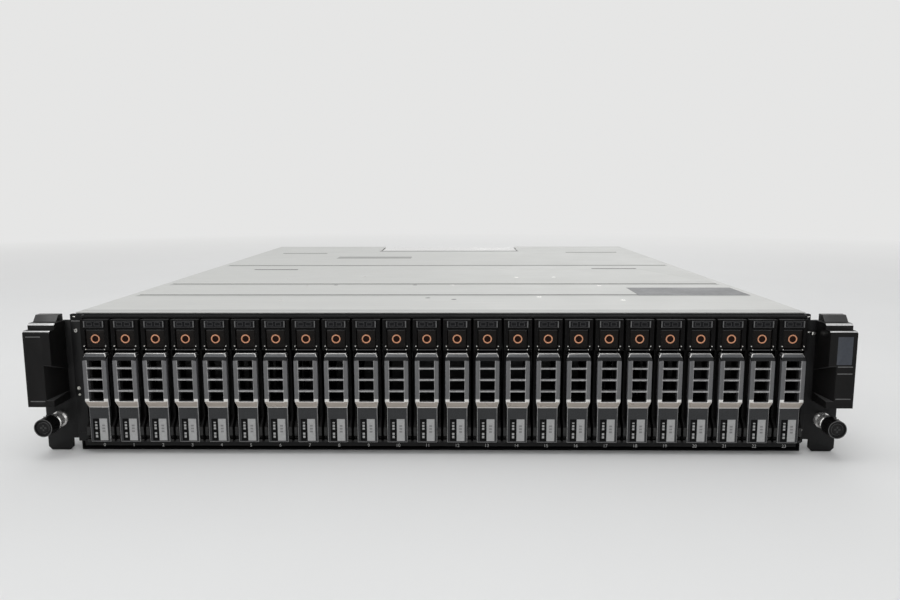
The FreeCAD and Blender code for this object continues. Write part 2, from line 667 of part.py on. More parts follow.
def cooling_fan(middle):
    """Square fan frame with a strut, the rotor on it and the slotted grille outside the module."""
    back = f"({REAR} - module_sheet)"
    front = f"({back} - fan_depth)"
    reach = f"{FAN_RADIUS} + frame_wall"
    frame_x = (f"fan_offset - ({reach})", f"fan_offset + {reach}")
    frame_z = (f"{middle} - ({reach})", f"{middle} + {reach}")
    bore = prism("fan_bore", "y", "fan_sides", FAN_RADIUS, "fan_depth + 2 * part_gap", x="fan_offset",
                 y=f"{front} - part_gap", z=middle)
    surround = cut("fan_surround", block("fan_square", frame_x, (front, back), frame_z), [bore])
    strut = block("fan_strut", frame_x, (front, f"{front} + strut_sheet"),
                  (f"{middle} - strut_height / 2", f"{middle} + strut_height / 2"))
    frame = fuse("fan_frame", [surround, strut])

    count = int(value("blade_count"))
    hub_start = f"{front} + strut_sheet"
    hub = prism("fan_hub", "y", "2 * blade_count", "hub_radius", "fan_depth - strut_sheet - blade_gap",
                x="fan_offset", y=hub_start, z=middle)
    blades = []
    for index in range(count):
        blade = block(f"fan_blade_{index}", ("hub_radius / 2", f"{FAN_RADIUS} - blade_gap"),
                      across("blade_chord"), across("blade_sheet"))
        twist = FreeCAD.Rotation(FreeCAD.Vector(1, 0, 0), value("blade_twist"))
        twisted = doc.addObject("Part::Compound", f"twisted_blade_{index}")
        twisted.Links = [blade]
        twisted.Placement.Rotation = FreeCAD.Rotation(FreeCAD.Vector(0, 1, 0), 360 / count * index) * twist
        blades.append(twisted)
    wheel = fuse("fan_blades", blades)
    place(wheel, x="fan_offset", y=f"({hub_start} + {back} - blade_gap) / 2", z=middle)
    rotor = fuse("fan_rotor", [hub, wheel])

    total = int(value("grille_slots"))
    slots = []
    for index in range(total):
        level = f"{middle} + ({index} - {total - 1} / 2) * 2 * {FAN_RADIUS} / {total}"
        slots.append(rectangle((f"fan_offset - {FAN_RADIUS}", f"fan_offset + {FAN_RADIUS}"),
                               (f"{level} - grille_slot / 2", f"{level} + grille_slot / 2")))
    grille = pad_y("fan_grille", [rectangle(frame_x, frame_z)] + slots, (REAR, f"{REAR} + module_sheet"))
    mouth = prism("fan_mouth", "y", "fan_sides", FAN_RADIUS, "3 * module_sheet", x="fan_offset",
                  y=f"{REAR} - 2 * module_sheet", z=middle)
    return [frame, rotor, grille], mouth


def mains_inlet():
    """Recessed socket with three prongs, and the hole that it fits in."""
    wide = "inlet_width / 2"
    tall = "inlet_height / 2"
    cup_x = (f"inlet_x - {wide} - inlet_wall", f"inlet_x + {wide} + inlet_wall")
    cup_z = (f"inlet_z - {tall} - inlet_wall", f"inlet_z + {tall} + inlet_wall")
    floor = f"({REAR} - inlet_depth)"
    cup = block("inlet_cup", cup_x, (f"{floor} - inlet_wall", f"{REAR} + inlet_wall"), cup_z)
    hollow = block("inlet_hollow", (f"inlet_x - {wide}", f"inlet_x + {wide}"),
                   (floor, f"{REAR} + 2 * inlet_wall"),
                   (f"inlet_z - {tall}", f"inlet_z + {tall}"))
    hole = block("inlet_hole", cup_x, (f"{REAR} - 2 * module_sheet", f"{REAR} + module_sheet"), cup_z)
    pieces = [cut("mains_inlet", cup, [hollow])]
    for name, shift, rise in (("live", -1, 0), ("neutral", 1, 0), ("earth", 0, 1)):
        middle_x = f"inlet_x + {shift} * prong_spacing"
        low = f"inlet_z + ({rise} - 1) * prong_height"
        pieces.append(block(f"{name}_prong",
                            (f"{middle_x} - prong_width / 2", f"{middle_x} + prong_width / 2"),
                            (floor, f"{REAR} - prong_setback"), (low, f"{low} + prong_height")))
    return pieces, hole


def power_modules():
    """Two identical modules with a fan, a mains inlet, a grip, a release tab and their circuit inside."""
    middle = f"(({MODULE_FLOOR} + {MODULE_ROOF}) / 2)"
    case, space = hollow_case("power", "power_width", f"({MODULE_ROOF} - {MODULE_FLOOR})", MODULE_FLOOR)
    fan, fan_mouth = cooling_fan(middle)
    inlet, inlet_hole = mains_inlet()
    housing = cut("power_housing", case, [space, fan_mouth, inlet_hole])

    out = f"({REAR} + grip_reach)"
    inside = f"({out} - grip_bar)"
    grip_side = [
        (REAR, "grip_low"), (inside, "grip_low"), (out, "grip_low + grip_bar"),
        (out, f"{GRIP_HIGH} - grip_bar"), (inside, GRIP_HIGH), (REAR, GRIP_HIGH),
        (REAR, f"{GRIP_HIGH} - grip_bar"),
        (inside, f"{GRIP_HIGH} - grip_bar"), (inside, "grip_low + grip_bar"), (REAR, "grip_low + grip_bar"),
    ]
    grip = pad_x("power_grip", [grip_side], ("grip_x - grip_width / 2", "grip_x + grip_width / 2"))
    latch_side = [
        (REAR, "grip_low - latch_height"), (f"{REAR} + latch_reach", "grip_low - latch_height"),
        (f"{REAR} + latch_reach", "grip_low - latch_height / 2"), (REAR, "grip_low - part_gap"),
    ]
    latch = pad_x("power_latch", [latch_side], ("grip_x - latch_width / 2", "grip_x + latch_width / 2"))

    floor = f"{MODULE_FLOOR} + module_sheet"
    run = (f"{MODULE_FRONT} + board_margin", f"{MODULE_FRONT} + board_margin + supply_length")
    board = block("supply_board", across("power_width - 2 * board_margin"), run,
                  (floor, f"{floor} + circuit_sheet"))
    sink = block("heat_sink", across("sink_width"), run,
                 (f"{floor} + circuit_sheet", f"{floor} + circuit_sheet + sink_height"))
    pieces = [housing, grip, latch, board, sink] + fan + inlet
    for name, side in (("power_module_left", "-1"), ("power_module_right", "1")):
        place(group(name, pieces), x=f"{side} * {POWER_CENTRE}")


def controllers():
    """Two identical controller modules, one above the other, with two ports and two levers each."""
    case, space = hollow_case("controller", CONTROLLER_WIDTH, CONTROLLER_HEIGHT, "0")
    ports = []
    holes = []
    levers = []
    for name, side in (("left", -1), ("right", 1)):
        middle = f"{side} * port_spacing / 2"
        wide = "port_width / 2"
        tall = "port_height / 2"
        outside_x = (f"{middle} - {wide}", f"{middle} + {wide}")
        outside_z = (f"port_z - {tall}", f"port_z + {tall}")
        shell = block(f"port_shell_{name}", outside_x, (f"{REAR} - port_depth", f"{REAR} + port_reach"),
                      outside_z)
        socket = block(f"port_socket_{name}",
                       (f"{middle} - {wide} + port_wall", f"{middle} + {wide} - port_wall"),
                       (f"{REAR} - port_depth + port_wall", f"{REAR} + 2 * port_reach"),
                       (f"port_z - {tall} + port_wall", f"port_z + {tall} - port_wall"))
        ports.append(cut(f"cable_port_{name}", shell, [socket]))
        holes.append(block(f"port_hole_{name}", outside_x,
                           (f"{REAR} - 2 * module_sheet", f"{REAR} + port_reach"), outside_z))
        lever_middle = f"{side} * ({CONTROLLER_WIDTH} / 2 - lever_inset)"
        lever_end = f"{REAR} + lever_reach"
        lever_side = [
            (REAR, f"{LEVER_Z} - lever_height / 2"), (lever_end, f"{LEVER_Z} - lever_height / 4"),
            (lever_end, f"{LEVER_Z} + lever_height / 4"), (REAR, f"{LEVER_Z} + lever_height / 2"),
        ]
        levers.append(pad_x(f"ejector_lever_{name}", [lever_side],
                            (f"{lever_middle} - lever_width / 2", f"{lever_middle} + lever_width / 2")))
    housing = cut("controller_housing", case, [space] + holes)
    board = block("controller_board", across(f"{CONTROLLER_WIDTH} - 2 * board_margin"),
                  (f"{MODULE_FRONT} + board_margin", f"{REAR} - board_margin"),
                  ("module_sheet", "module_sheet + circuit_sheet"))
    pieces = [housing, board] + ports + levers
    place(group("controller_lower", pieces), z=MODULE_FLOOR)
    place(group("controller_upper", pieces), z=f"{SHELF_LOW} + shelf_sheet + slide_gap")


base_tray()
top_cover()
drive_cage()
drive_bays()
midplane()
rack_ear("rack_ear_left", -1)
rack_ear("rack_ear_right", 1)
thumbscrew("thumbscrew_left", -1)
thumbscrew("thumbscrew_right", 1)
power_modules()
controllers()
doc.recompute()

for item in doc.Objects:
    if "Invalid" in item.State or "Error" in item.State:
        raise RuntimeError(f"{item.Label} failed: {item.State}")
os.makedirs("parts", exist_ok=True)
for item in subparts:
    if item.Shape.isNull() or not item.Shape.isValid():
        raise RuntimeError(f"{item.Label} has no valid shape")
    item.Shape.exportStep(f"parts/{item.Label}.step")
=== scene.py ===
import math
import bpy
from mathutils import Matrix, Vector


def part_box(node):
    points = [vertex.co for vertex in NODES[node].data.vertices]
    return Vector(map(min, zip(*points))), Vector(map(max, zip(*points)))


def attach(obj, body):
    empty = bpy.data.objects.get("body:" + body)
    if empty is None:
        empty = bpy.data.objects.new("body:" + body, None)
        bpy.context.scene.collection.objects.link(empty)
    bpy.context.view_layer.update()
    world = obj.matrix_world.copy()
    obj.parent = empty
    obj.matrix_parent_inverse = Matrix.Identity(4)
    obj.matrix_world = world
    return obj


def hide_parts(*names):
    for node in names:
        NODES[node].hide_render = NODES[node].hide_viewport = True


bl_info = {
    "name": "Storage array looks",
    "version": (1, 0, 0),
    "blender": (4, 5, 0),
    "location": "View3D > Sidebar > Storage array",
    "description": "Dresses a two-unit storage array with its finishes and details, and sets its stage",
    "category": "Object",
}

from typing import NamedTuple

import bmesh
import bpy
from bpy.props import FloatProperty, FloatVectorProperty, IntProperty, PointerProperty
from mathutils import Matrix, Vector

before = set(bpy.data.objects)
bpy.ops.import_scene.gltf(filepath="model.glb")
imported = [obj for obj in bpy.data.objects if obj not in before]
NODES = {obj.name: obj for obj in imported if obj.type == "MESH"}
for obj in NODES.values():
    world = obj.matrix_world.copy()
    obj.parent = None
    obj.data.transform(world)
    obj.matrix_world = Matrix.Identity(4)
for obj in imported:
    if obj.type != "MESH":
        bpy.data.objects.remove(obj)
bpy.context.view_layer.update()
BAYS = sorted(name[-2:] for name in NODES if name.startswith("drive_carrier_"))
FIRST_CARRIER = f"drive_carrier_{BAYS[0]}"
FIRST_HANDLE = f"carrier_handle_{BAYS[0]}"

# Units, directions and tolerances
MM = 0.001
X_AXIS = Vector((1, 0, 0))
FRONT = Vector((0, -1, 0))
REAR = Vector((0, 1, 0))
UP = Vector((0, 0, 1))
BROW = (FRONT + UP).normalized()
SIDES = {"left": -1, "right": 1}
WELD = 0.005 * MM
FLAT_ANGLE = math.radians(1)
SHARP_ANGLE = math.radians(32)
FACING = 0.9
LEANING = 0.3

# Faces of the solids along the depth
# End of the painted shade on the tray's front
SHADE_END = 20 * MM
HEAD_FACE = -8.8 * MM
PANEL_FACE = -9.5 * MM
KNOB_BACK = -12.6 * MM
NECK_END = 0.3 * MM
FERRULE_FRONT = -12.0 * MM
FERRULE_BACK = -2.0 * MM


# Values that a user can change


def length(name, description, millimetres):
    """Property for a size, given in millimetres."""
    return FloatProperty(name=name, description=description, default=millimetres * MM, unit="LENGTH",
                         precision=5)


def tint(name, description, *rgb):
    """Property for a linear colour."""
    return FloatVectorProperty(name=name, description=description, default=rgb, subtype="COLOR", size=3,
                               min=0, max=1)


def angle(name, description, degrees):
    """Property for an angle, given in degrees."""
    return FloatProperty(name=name, description=description, default=math.radians(degrees), subtype="ANGLE")


class ArraySizes(bpy.types.PropertyGroup):
    """Sizes of the details that the looks add to the solids."""

    sheet_round: length("Sheet edge", "Rounding of folded sheet edges", 0.35)
    moulding_round: length("Moulding edge", "Rounding of moulded edges", 0.3)
    handle_round: length("Handle edge", "Rounding of the carrier handles' edges", 0.45)
    cap_round: length("Ear edge", "Rounding of the ear covers' edges", 0.6)
    button_round: length("Button edge", "Rounding of the release buttons' edges", 0.45)
    drive_round: length("Drive edge", "Rounding of the drives' edges", 0.8)
    ledge_bevel: length("Ear ledge", "Width of the bright bevels on the ear covers' ledges", 1.1)
    tower_lean: length("Ear lean", "How far the ear covers' top leans back", 3.2)
    skin_drop: length("Cover skin", "How far the cover's skin lies below its raised marks", 0.15)
    slot_depth: length("Cover slot depth", "Depth of the short slots pressed in the cover", 0.7)
    slot_width: length("Cover slot width", "Width of the short slots pressed in the cover", 5.5)
    slot_slope: length("Cover slot slope", "Width of the sloping walls of a cover slot", 0.7)
    rivet_radius: length("Cover rivet", "Radius of the flat rivets and dents in the cover", 2.0)
    notch_half: length("Notch half width", "Half the width of the cover's rear notch", 84.0)
    notch_depth: length("Notch depth", "Depth of the cover's rear notch", 66.0)
    # Painted shade along the rear notch
    notch_hem: length("Notch hem", "Depth of the folded hem along the cover's rear notch", 16.0)
    bead_foot: length("Bead foot", "Width of the shaded strip along the foot of a cover bead", 4.5)
    # Painted shade on the front hem, and a line of painted shade for the fold behind it
    hem_depth: length("Cover hem", "Depth of the folded hem along the cover's front edge", 7.0)
    hem_line: length("Cover hem line", "Width of the fold line behind the hem", 1.6)
    side_screw: length("Side screw", "Radius of the screw heads in the tray's walls", 2.6)
    cover_screw: length("Cover screw", "Radius of the screw heads in the cover's flanges", 2.8)
    power_screw: length("Power module screw", "Radius of the screw heads on the power modules", 2.2)
    controller_screw: length("Controller screw", "Radius of the screw heads on the controllers", 3.0)
    ring_major: length("Ring radius", "Middle radius of the ring on a release button", 2.3)
    ring_minor: length("Ring thickness", "Radius of the ring's own section", 0.38)
    ring_relief: length("Ring relief", "How far the ring stands out of its button", 0.4)
    window_line: length("Window line", "Width of the pale outlines in an indicator window", 0.32)
    head_height: length("Head height", "Height of a carrier's head above its handle", 18.5)
    lip_height: length("Lip height", "Height of the lip at the top of a carrier handle", 4.1)
    # The lip's darker foot is painted shade
    lip_split: length("Lip split", "Height of the lip's darker foot", 2.1)
    ladder_opening: length("Ladder opening", "Width of the air windows in a carrier handle", 8.8)
    chin_low: length("Chin bottom", "Height of the lower edge of the bright chin", 29.4)
    chin_top: length("Chin top", "Height of the upper edge of the bright chin", 33.7)
    # The chin's bright strip is a painted highlight
    chin_strip: length("Chin strip", "Height of the bright strip along the chin's lower edge", 0.5)
    prong_top: length("Prong top", "Height that the chin's prongs reach on the handle rails", 35.4)
    panel_width: length("Panel width", "Width of the panel at the foot of a carrier handle", 12.3)
    label_low: length("Label bottom", "Height of the lower edge of the handle label", 8.8)
    label_top: length("Label top", "Height of the upper edge of the handle label", 22.4)
    label_film: length("Label film", "Thickness of the handle label", 0.08)
    number_height: length("Number height", "Height of the bay numbers", 2.8)
    ferrule_radius: length("Ferrule radius", "Outer radius of the ears' ferrules", 4.9)
    ferrule_bore: length("Ferrule bore", "Radius of the ferrules' bore", 2.7)
    knob_ribs: IntProperty(name="Knob ribs", description="Grip ribs round a thumbscrew", default=20, min=6)


class ArrayColours(bpy.types.PropertyGroup):
    """Colours of the finishes."""

    cover: tint("Cover", "Pale satin sheet of the cover", 0.58, 0.585, 0.57)
    tray: tint("Tray", "Zinc-plated sheet of the tray", 0.5, 0.505, 0.495)
    black: tint("Frame black", "Powder coat of the frame", 0.007, 0.007, 0.0073)
    plastic: tint("Black plastic", "Moulded black of the ears and carriers", 0.0065, 0.0062, 0.0062)
    # Painted highlight on the ear covers' bevels
    ledge: tint("Ledge", "Polished bevels on the ear covers", 0.6, 0.6, 0.6)
    handle: tint("Handle grey", "Painted ladder of a carrier handle", 0.037, 0.038, 0.04)
    # Painted highlight on the rungs and edges of a carrier handle
    handle_edge: tint("Handle edge", "Rungs and worn edges of a carrier handle", 0.31, 0.31, 0.31)
    panel: tint("Panel grey", "Dark panel at the foot of a carrier handle", 0.038, 0.039, 0.041)
    # The chin's warm tint is a painted reflection on its silver
    chin: tint("Chin", "Warm grey chin of a carrier handle", 0.4, 0.355, 0.315)
    # Painted highlight on the chin's and the lip's edges
    chin_edge: tint("Chin edge", "Bright edges of the chin", 0.78, 0.77, 0.75)
    ring: tint("Ring orange", "Ring on a release button", 0.66, 0.3, 0.165)
    ring_eye: tint("Ring eye", "Hollow inside the ring", 0.014, 0.005, 0.003)
    print_pale: tint("Pale print", "Bay numbers", 0.42, 0.42, 0.41)
    nickel: tint("Nickel", "Plated pins and screws", 0.7, 0.69, 0.66)
    board: tint("Board green", "Circuit boards", 0.03, 0.11, 0.05)
    touch: tint("Touch colour", "Release tabs at the rear", 0.42, 0.09, 0.03)
    floor: tint("Floor", "Pale floor", 0.76, 0.765, 0.765)
    backdrop: tint("Backdrop", "Pale backdrop", 0.79, 0.79, 0.785)


class ArrayStage(bpy.types.PropertyGroup):
    """Camera and lamps."""

    camera_place: FloatVectorProperty(
        name="Camera place", description="Where the camera stands", default=(0.01289, -0.44499, 0.15845),
        subtype="TRANSLATION", unit="LENGTH", precision=5)
    camera_pitch: angle("Camera pitch", "Tilt from level", -8.315)
    camera_yaw: angle("Camera yaw", "Turn to the left", 0.742)
    camera_roll: angle("Camera roll", "Turn about the line of sight", 0.115)
    lens: FloatProperty(
        name="Lens", description="Focal length on a 36 mm frame", default=30.0, unit="CAMERA")
    world_strength: FloatProperty(
        name="Room light", description="Strength of the even light", default=0.62, min=0)
    key_power: FloatProperty(
        name="Key light", description="Power of the lamp overhead", default=15.0, unit="POWER")
    fill_power: FloatProperty(
        name="Fill light", description="Power of the lamp in front", default=6.0, unit="POWER")


def sizes():
    """Sizes that the scene holds."""
    return bpy.context.scene.array_sizes


def colours():
    """Colours that the scene holds."""
    return bpy.context.scene.array_colours


# Finishes


class Look(NamedTuple):
    """Values of a finish, whose colour is a tint of its own or the name of one of the array's colours."""

    colour: object
    roughness: float
    metallic: float = 0.0
    factor: float = 1.0
    tone: float = 0.12
    scale: float = 700.0
    stretch: tuple = (1, 1, 1)
    relief: float = 0.08
    gloss: float = 0.5


def grey(level):
    """Neutral tint."""
    return (level, level, level)


# Satin sheet with faint rolling streaks along its width
SATIN = Look("cover", 0.6, 0.15, tone=0.03, scale=500.0, stretch=(0.04, 1, 1), relief=0.03, gloss=0.3)
# Thin coat of paint or ink
PRINT = Look("print_pale", 0.55, tone=0.1, scale=900.0, relief=0.02)

FINISHES = {
    # Cover: sheet, painted shade on the hem and at the foot of a bead, painted shade in slots, dents, screw
    # recesses and on bead walls, and a darker and a fainter bare patch, the fainter also used for painted
    # shade
    "cover_steel": SATIN._replace(gloss=0.35),
    "hem_steel": SATIN._replace(factor=0.9),
    "bead_steel": SATIN._replace(factor=0.7),
    "seam_dark": Look("cover", 0.6, 0.2, factor=0.3, tone=0.1),
    "patch_dark": Look((0.18, 0.184, 0.188), 0.5, scale=260.0, relief=0.02, gloss=0.25),
    "patch_faint": Look("cover", 0.5, 0.3, factor=0.56, tone=0.05, scale=260.0, relief=0.02),
    # Mottled zinc of the tray, and powder coat of the frame with its fine orange peel, whose matt black is
    # also painted shade on the tray's front
    "tray_steel": Look("tray", 0.42, 0.55, tone=0.07, scale=160.0, relief=0.03),
    "frame_black": Look("black", 0.42, tone=0.25, scale=1500.0, relief=0.16, gloss=0.2),
    "frame_matt": Look("black", 0.7, tone=0.25, scale=1500.0, relief=0.16, gloss=0.02),
    # Ears: moulded plastic, painted highlights on bevels and on sloped faces, and the film of a bare label
    "ear_plastic": Look("plastic", 0.32, tone=0.22, scale=2200.0, relief=0.1, gloss=0.14),
    "ear_ledge": Look("ledge", 0.22, 0.3, tone=0.15, scale=900.0, relief=0.03),
    "ear_slope": Look(grey(0.032), 0.34, tone=0.2, scale=2200.0, relief=0.1),
    "label_blue": Look((0.03, 0.036, 0.048), 0.34, scale=600.0, relief=0.02),
    # Carriers: smooth plastic, painted highlights on the fronts of the arms, the button with a painted warm
    # reflection and its ring, and the window with painted highlight ticks
    "carrier_plastic": Look("plastic", 0.3, factor=0.8, tone=0.2, scale=1800.0, relief=0.05, gloss=0.06),
    "arm_grey": Look(grey(0.024), 0.4, 0.2, tone=0.3, scale=900.0, gloss=0.2),
    # Button black with a warm tint that is a painted reflection
    "button_black": Look((0.0068, 0.0052, 0.0044), 0.28, tone=0.2, scale=1200.0, relief=0.04, gloss=0.12),
    "ring_orange": Look("ring", 0.3, scale=900.0, relief=0.03),
    "ring_eye": Look("ring_eye", 0.35, tone=0.3, scale=900.0, relief=0.03, gloss=0.06),
    "window_smoke": Look((0.006, 0.006, 0.007), 0.16, tone=0.15, scale=900.0, relief=0.01, gloss=0.1),
    # Grey of the window's outlines, also painted highlight on the button's upper edge and the head's lower
    # edge
    "window_line": Look((0.06, 0.06, 0.062), 0.35, tone=0.15, scale=900.0, relief=0.02, gloss=0.15),
    "window_tick": Look(grey(0.13), 0.35, tone=0.15, scale=900.0, relief=0.02, gloss=0.3),
    # Handles: metallic paint with a fine flake, painted highlights on edges, rungs and lip, painted shade on
    # the lip's foot, panel, chin with a painted warm reflection and painted highlights, and label, whose
    # black is also painted shade on the pivot pins
    "handle_grey": Look("handle", 0.42, 0.25, tone=0.28, scale=1700.0, relief=0.1, gloss=0.25),
    "handle_edge": Look("handle_edge", 0.34, 0.3, tone=0.25, scale=800.0, relief=0.06),
    "handle_rim": Look("handle", 0.38, 0.3, factor=4.0, tone=0.28, scale=900.0, gloss=0.3),
    "lip_grey": Look("handle", 0.36, 0.3, factor=2.5, tone=0.2, scale=1700.0, gloss=0.3),
    "lip_dark": Look("handle", 0.45, 0.1, factor=0.35, tone=0.2, scale=1700.0, gloss=0.15),
    "panel_grey": Look("panel", 0.42, 0.1, tone=0.2, scale=1700.0, relief=0.1, gloss=0.25),
    "chin_warm": Look("chin", 0.3, 0.5, tone=0.06, scale=900.0, stretch=(0.08, 1, 1), relief=0.04),
    "chin_edge": Look("chin_edge", 0.26, 0.4, tone=0.06, scale=900.0, relief=0.03),
    "label_black": Look(grey(0.006), 0.45, tone=0.2, scale=900.0, relief=0.02, gloss=0.05),
    "label_pale": Look(grey(0.37), 0.5, tone=0.08, scale=900.0, relief=0.02),
    "print_pale": PRINT._replace(tone=0.06),
    "print_grey": PRINT._replace(colour=grey(0.36)),
    "print_dark": PRINT._replace(colour=grey(0.2)),
    # Screws, ferrules and thumbscrews, with painted highlights on the knob's rings
    "nickel": Look("nickel", 0.2, 1.0, tone=0.05, relief=0.02),
    "ferrule_chrome": Look((0.9, 0.89, 0.87), 0.22, 0.75, tone=0.04, relief=0.02),
    "thread_steel": Look((0.45, 0.44, 0.42), 0.35, 0.9, tone=0.06),
    "knob_plastic": Look("plastic", 0.34, factor=0.9, tone=0.2, scale=2200.0, gloss=0.2),
    "knob_edge": Look(grey(0.075), 0.3, tone=0.25, scale=900.0, relief=0.05),
    # Drives: cast shell and smooth lid
    "drive_shell": Look((0.5, 0.505, 0.51), 0.42, 0.85, tone=0.08, scale=500.0, relief=0.06),
    "drive_lid": Look((0.58, 0.585, 0.59), 0.3, 0.9, tone=0.04, scale=600.0, stretch=(1, 0.06, 1),
                      relief=0.02),
    # Modules: plated housings and roofs, fans, heat sinks, boards, connectors, whose black is also painted
    # shade in vents and cross recesses, tabs and light pipes
    "module_zinc": Look((0.46, 0.462, 0.455), 0.4, 0.6, tone=0.08, scale=130.0, relief=0.03),
    "roof_zinc": Look((0.8, 0.8, 0.79), 0.14, 0.95, tone=0.03, scale=130.0, relief=0.01),
    "grille_steel": Look((0.38, 0.38, 0.375), 0.36, 0.8, tone=0.08, scale=500.0, relief=0.03),
    "fan_black": Look((0.02, 0.02, 0.021), 0.42, tone=0.2, scale=1400.0, relief=0.06),
    "sink_aluminium": Look((0.55, 0.555, 0.56), 0.4, 0.9, tone=0.06, scale=600.0, stretch=(1, 0.05, 1)),
    "board_green": Look("board", 0.36, tone=0.2, scale=400.0, relief=0.03),
    "connector_black": Look(grey(0.02), 0.45, tone=0.2, scale=1500.0, relief=0.05),
    "touch_plastic": Look("touch", 0.38, scale=1400.0, relief=0.06),
    "light_green": Look((0.06, 0.34, 0.1), 0.25, tone=0.1, scale=900.0, relief=0.02),
    "light_pale": Look((0.55, 0.55, 0.5), 0.3, tone=0.1, scale=900.0, relief=0.02),
    # Matt floor
    "stage_white": Look("floor", 0.85, tone=0.015, scale=3.0, relief=0.0),
}
FINISH_ORDER = list(FINISHES)

# Range that most of a noise pattern lies in, and the broad smudges that change a surface's gloss
NOISE_LOW, NOISE_HIGH = 0.3, 0.7
SMUDGE_SCALE = 38.0
SMUDGE_DETAIL = 4.0
SMUDGE_SWING = 0.06
GRAIN_HEIGHT = 0.2 * MM
# Screw thread: ridges and how far they stand out
THREAD_SCALE = 400.0
THREAD_STRENGTH = 0.8
THREAD_HEIGHT = 0.3 * MM
# Distances between which the floor turns into an evenly lit backdrop
GLOW_START, GLOW_END = 0.9, 2.4


def fill_in(tree, node, inputs):
    """Give inputs of a node a value, or wire them to another node's output."""
    for key, value in inputs.items():
        if isinstance(value, bpy.types.NodeSocket):
            tree.links.new(value, node.inputs[key])
        else:
            node.inputs[key].default_value = value


def add_node(tree, kind, inputs, operation=None):
    """Node with its inputs filled in."""
    node = tree.nodes.new(kind)
    if operation:
        node.operation = operation
    fill_in(tree, node, inputs)
    return node


def own_place(tree):
    """Coordinates of the piece itself."""
    return tree.nodes.new("ShaderNodeTexCoord").outputs["Object"]


def grain(tree, scale, stretch=(1, 1, 1), detail=3.0):
    """Noise on the piece's own coordinates, drawn out along an axis by its stretch."""
    place = add_node(tree, "ShaderNodeMapping", {"Vector": own_place(tree), "Scale": stretch})
    noise = add_node(tree, "ShaderNodeTexNoise",
                     {"Vector": place.outputs["Vector"], "Scale": scale, "Detail": detail})
    return noise.outputs["Fac"]


def vary(tree, pattern, low, high, start=NOISE_LOW, end=NOISE_HIGH):
    """Pattern spread over a range of values."""
    spread = add_node(tree, "ShaderNodeMapRange", {"Value": pattern, "From Min": start, "From Max": end,
                                                   "To Min": low, "To Max": high})
    return spread.outputs["Result"]


def ramp(tree, pattern, dark, light):
    """Pattern turned into colours between a dark and a light one."""
    band = add_node(tree, "ShaderNodeValToRGB", {"Fac": pattern})
    stops = ((NOISE_LOW, dark), (NOISE_HIGH, light))
    for element, (place, rgb) in zip(band.color_ramp.elements, stops):
        element.position = place
        element.color = (*rgb, 1)
    return band.outputs["Color"]


def emboss(tree, pattern, strength, height):
    """Pattern raised on the shader's surface."""
    bump = add_node(tree, "ShaderNodeBump", {"Strength": strength, "Distance": height, "Height": pattern})
    fill_in(tree, tree.nodes["Principled BSDF"], {"Normal": bump.outputs["Normal"]})


def combine(tree, operation, first, second):
    """Two values put together by an operation."""
    return add_node(tree, "ShaderNodeMath", {0: first, 1: second}, operation).outputs["Value"]


def shade(colour, factor):
    """Colour made lighter or darker."""
    return tuple(min(1.0, channel * factor) for channel in colour)


def surface(name, look):
    """Material whose colour, gloss and surface follow a fine grain and broad smudges."""
    material = bpy.data.materials.new(name)
    material.use_nodes = True
    tree = material.node_tree
    colour = getattr(colours(), look.colour) if isinstance(look.colour, str) else look.colour
    colour = shade(colour, look.factor)
    fine = grain(tree, look.scale, look.stretch)
    broad = grain(tree, SMUDGE_SCALE, detail=SMUDGE_DETAIL)
    fill_in(tree, tree.nodes["Principled BSDF"], {
        "Base Color": ramp(tree, fine, shade(colour, 1 - look.tone), shade(colour, 1 + look.tone)),
        "Roughness": vary(tree, broad, look.roughness - SMUDGE_SWING, look.roughness + SMUDGE_SWING),
        "Metallic": look.metallic,
        "Specular IOR Level": look.gloss,
    })
    emboss(tree, fine, look.relief, GRAIN_HEIGHT)
    return material


def cut_thread(tree):
    """Ridges of a screw thread in place of the grain."""
    ridges = add_node(tree, "ShaderNodeTexWave", {"Vector": own_place(tree), "Scale": THREAD_SCALE})
    ridges.bands_direction = "Y"
    emboss(tree, ridges.outputs["Fac"], THREAD_STRENGTH, THREAD_HEIGHT)


def light_backdrop(tree):
    """Far part of the floor that looks evenly lit, however far the lamps reach."""
    reach = add_node(tree, "ShaderNodeVectorMath", {0: own_place(tree)}, "LENGTH")
    far = vary(tree, reach.outputs["Value"], 0.0, 1.0, GLOW_START, GLOW_END)
    rays = tree.nodes.new("ShaderNodeLightPath").outputs
    seen = rays["Is Camera Ray"]
    for kind in ("Is Glossy Ray", "Is Transmission Ray"):
        seen = combine(tree, "MAXIMUM", seen, rays[kind])
    glow = add_node(tree, "ShaderNodeEmission", {"Color": (*colours().backdrop, 1)})
    mix = add_node(tree, "ShaderNodeMixShader", {
        "Fac": combine(tree, "MULTIPLY", far, seen),
        1: tree.nodes["Principled BSDF"].outputs["BSDF"],
        2: glow.outputs["Emission"],
    })
    fill_in(tree, tree.nodes["Material Output"], {"Surface": mix.outputs["Shader"]})


EXTRAS = {"thread_steel": cut_thread, "stage_white": light_backdrop}


def finish(name):
    """Material of a finish, built once."""
    material = bpy.data.materials.get(name)
    if material is None:
        material = surface(name, FINISHES[name])
        if name in EXTRAS:
            EXTRAS[name](material.node_tree)
    return material


# Shapes


def mm(*numbers):
    """Point given in millimetres."""
    return Vector([number * MM for number in numbers])


def box_of(faces):
    """Lowest and highest corners of some faces."""
    points = [vert.co for face in faces for vert in face.verts]
    return tuple(Vector(pick(point[axis] for point in points) for axis in range(3)) for pick in (min, max))


def box_volume(faces):
    """Volume of the box round some faces."""
    low, high = box_of(faces)
    size = high - low
    return size.x * size.y * size.z


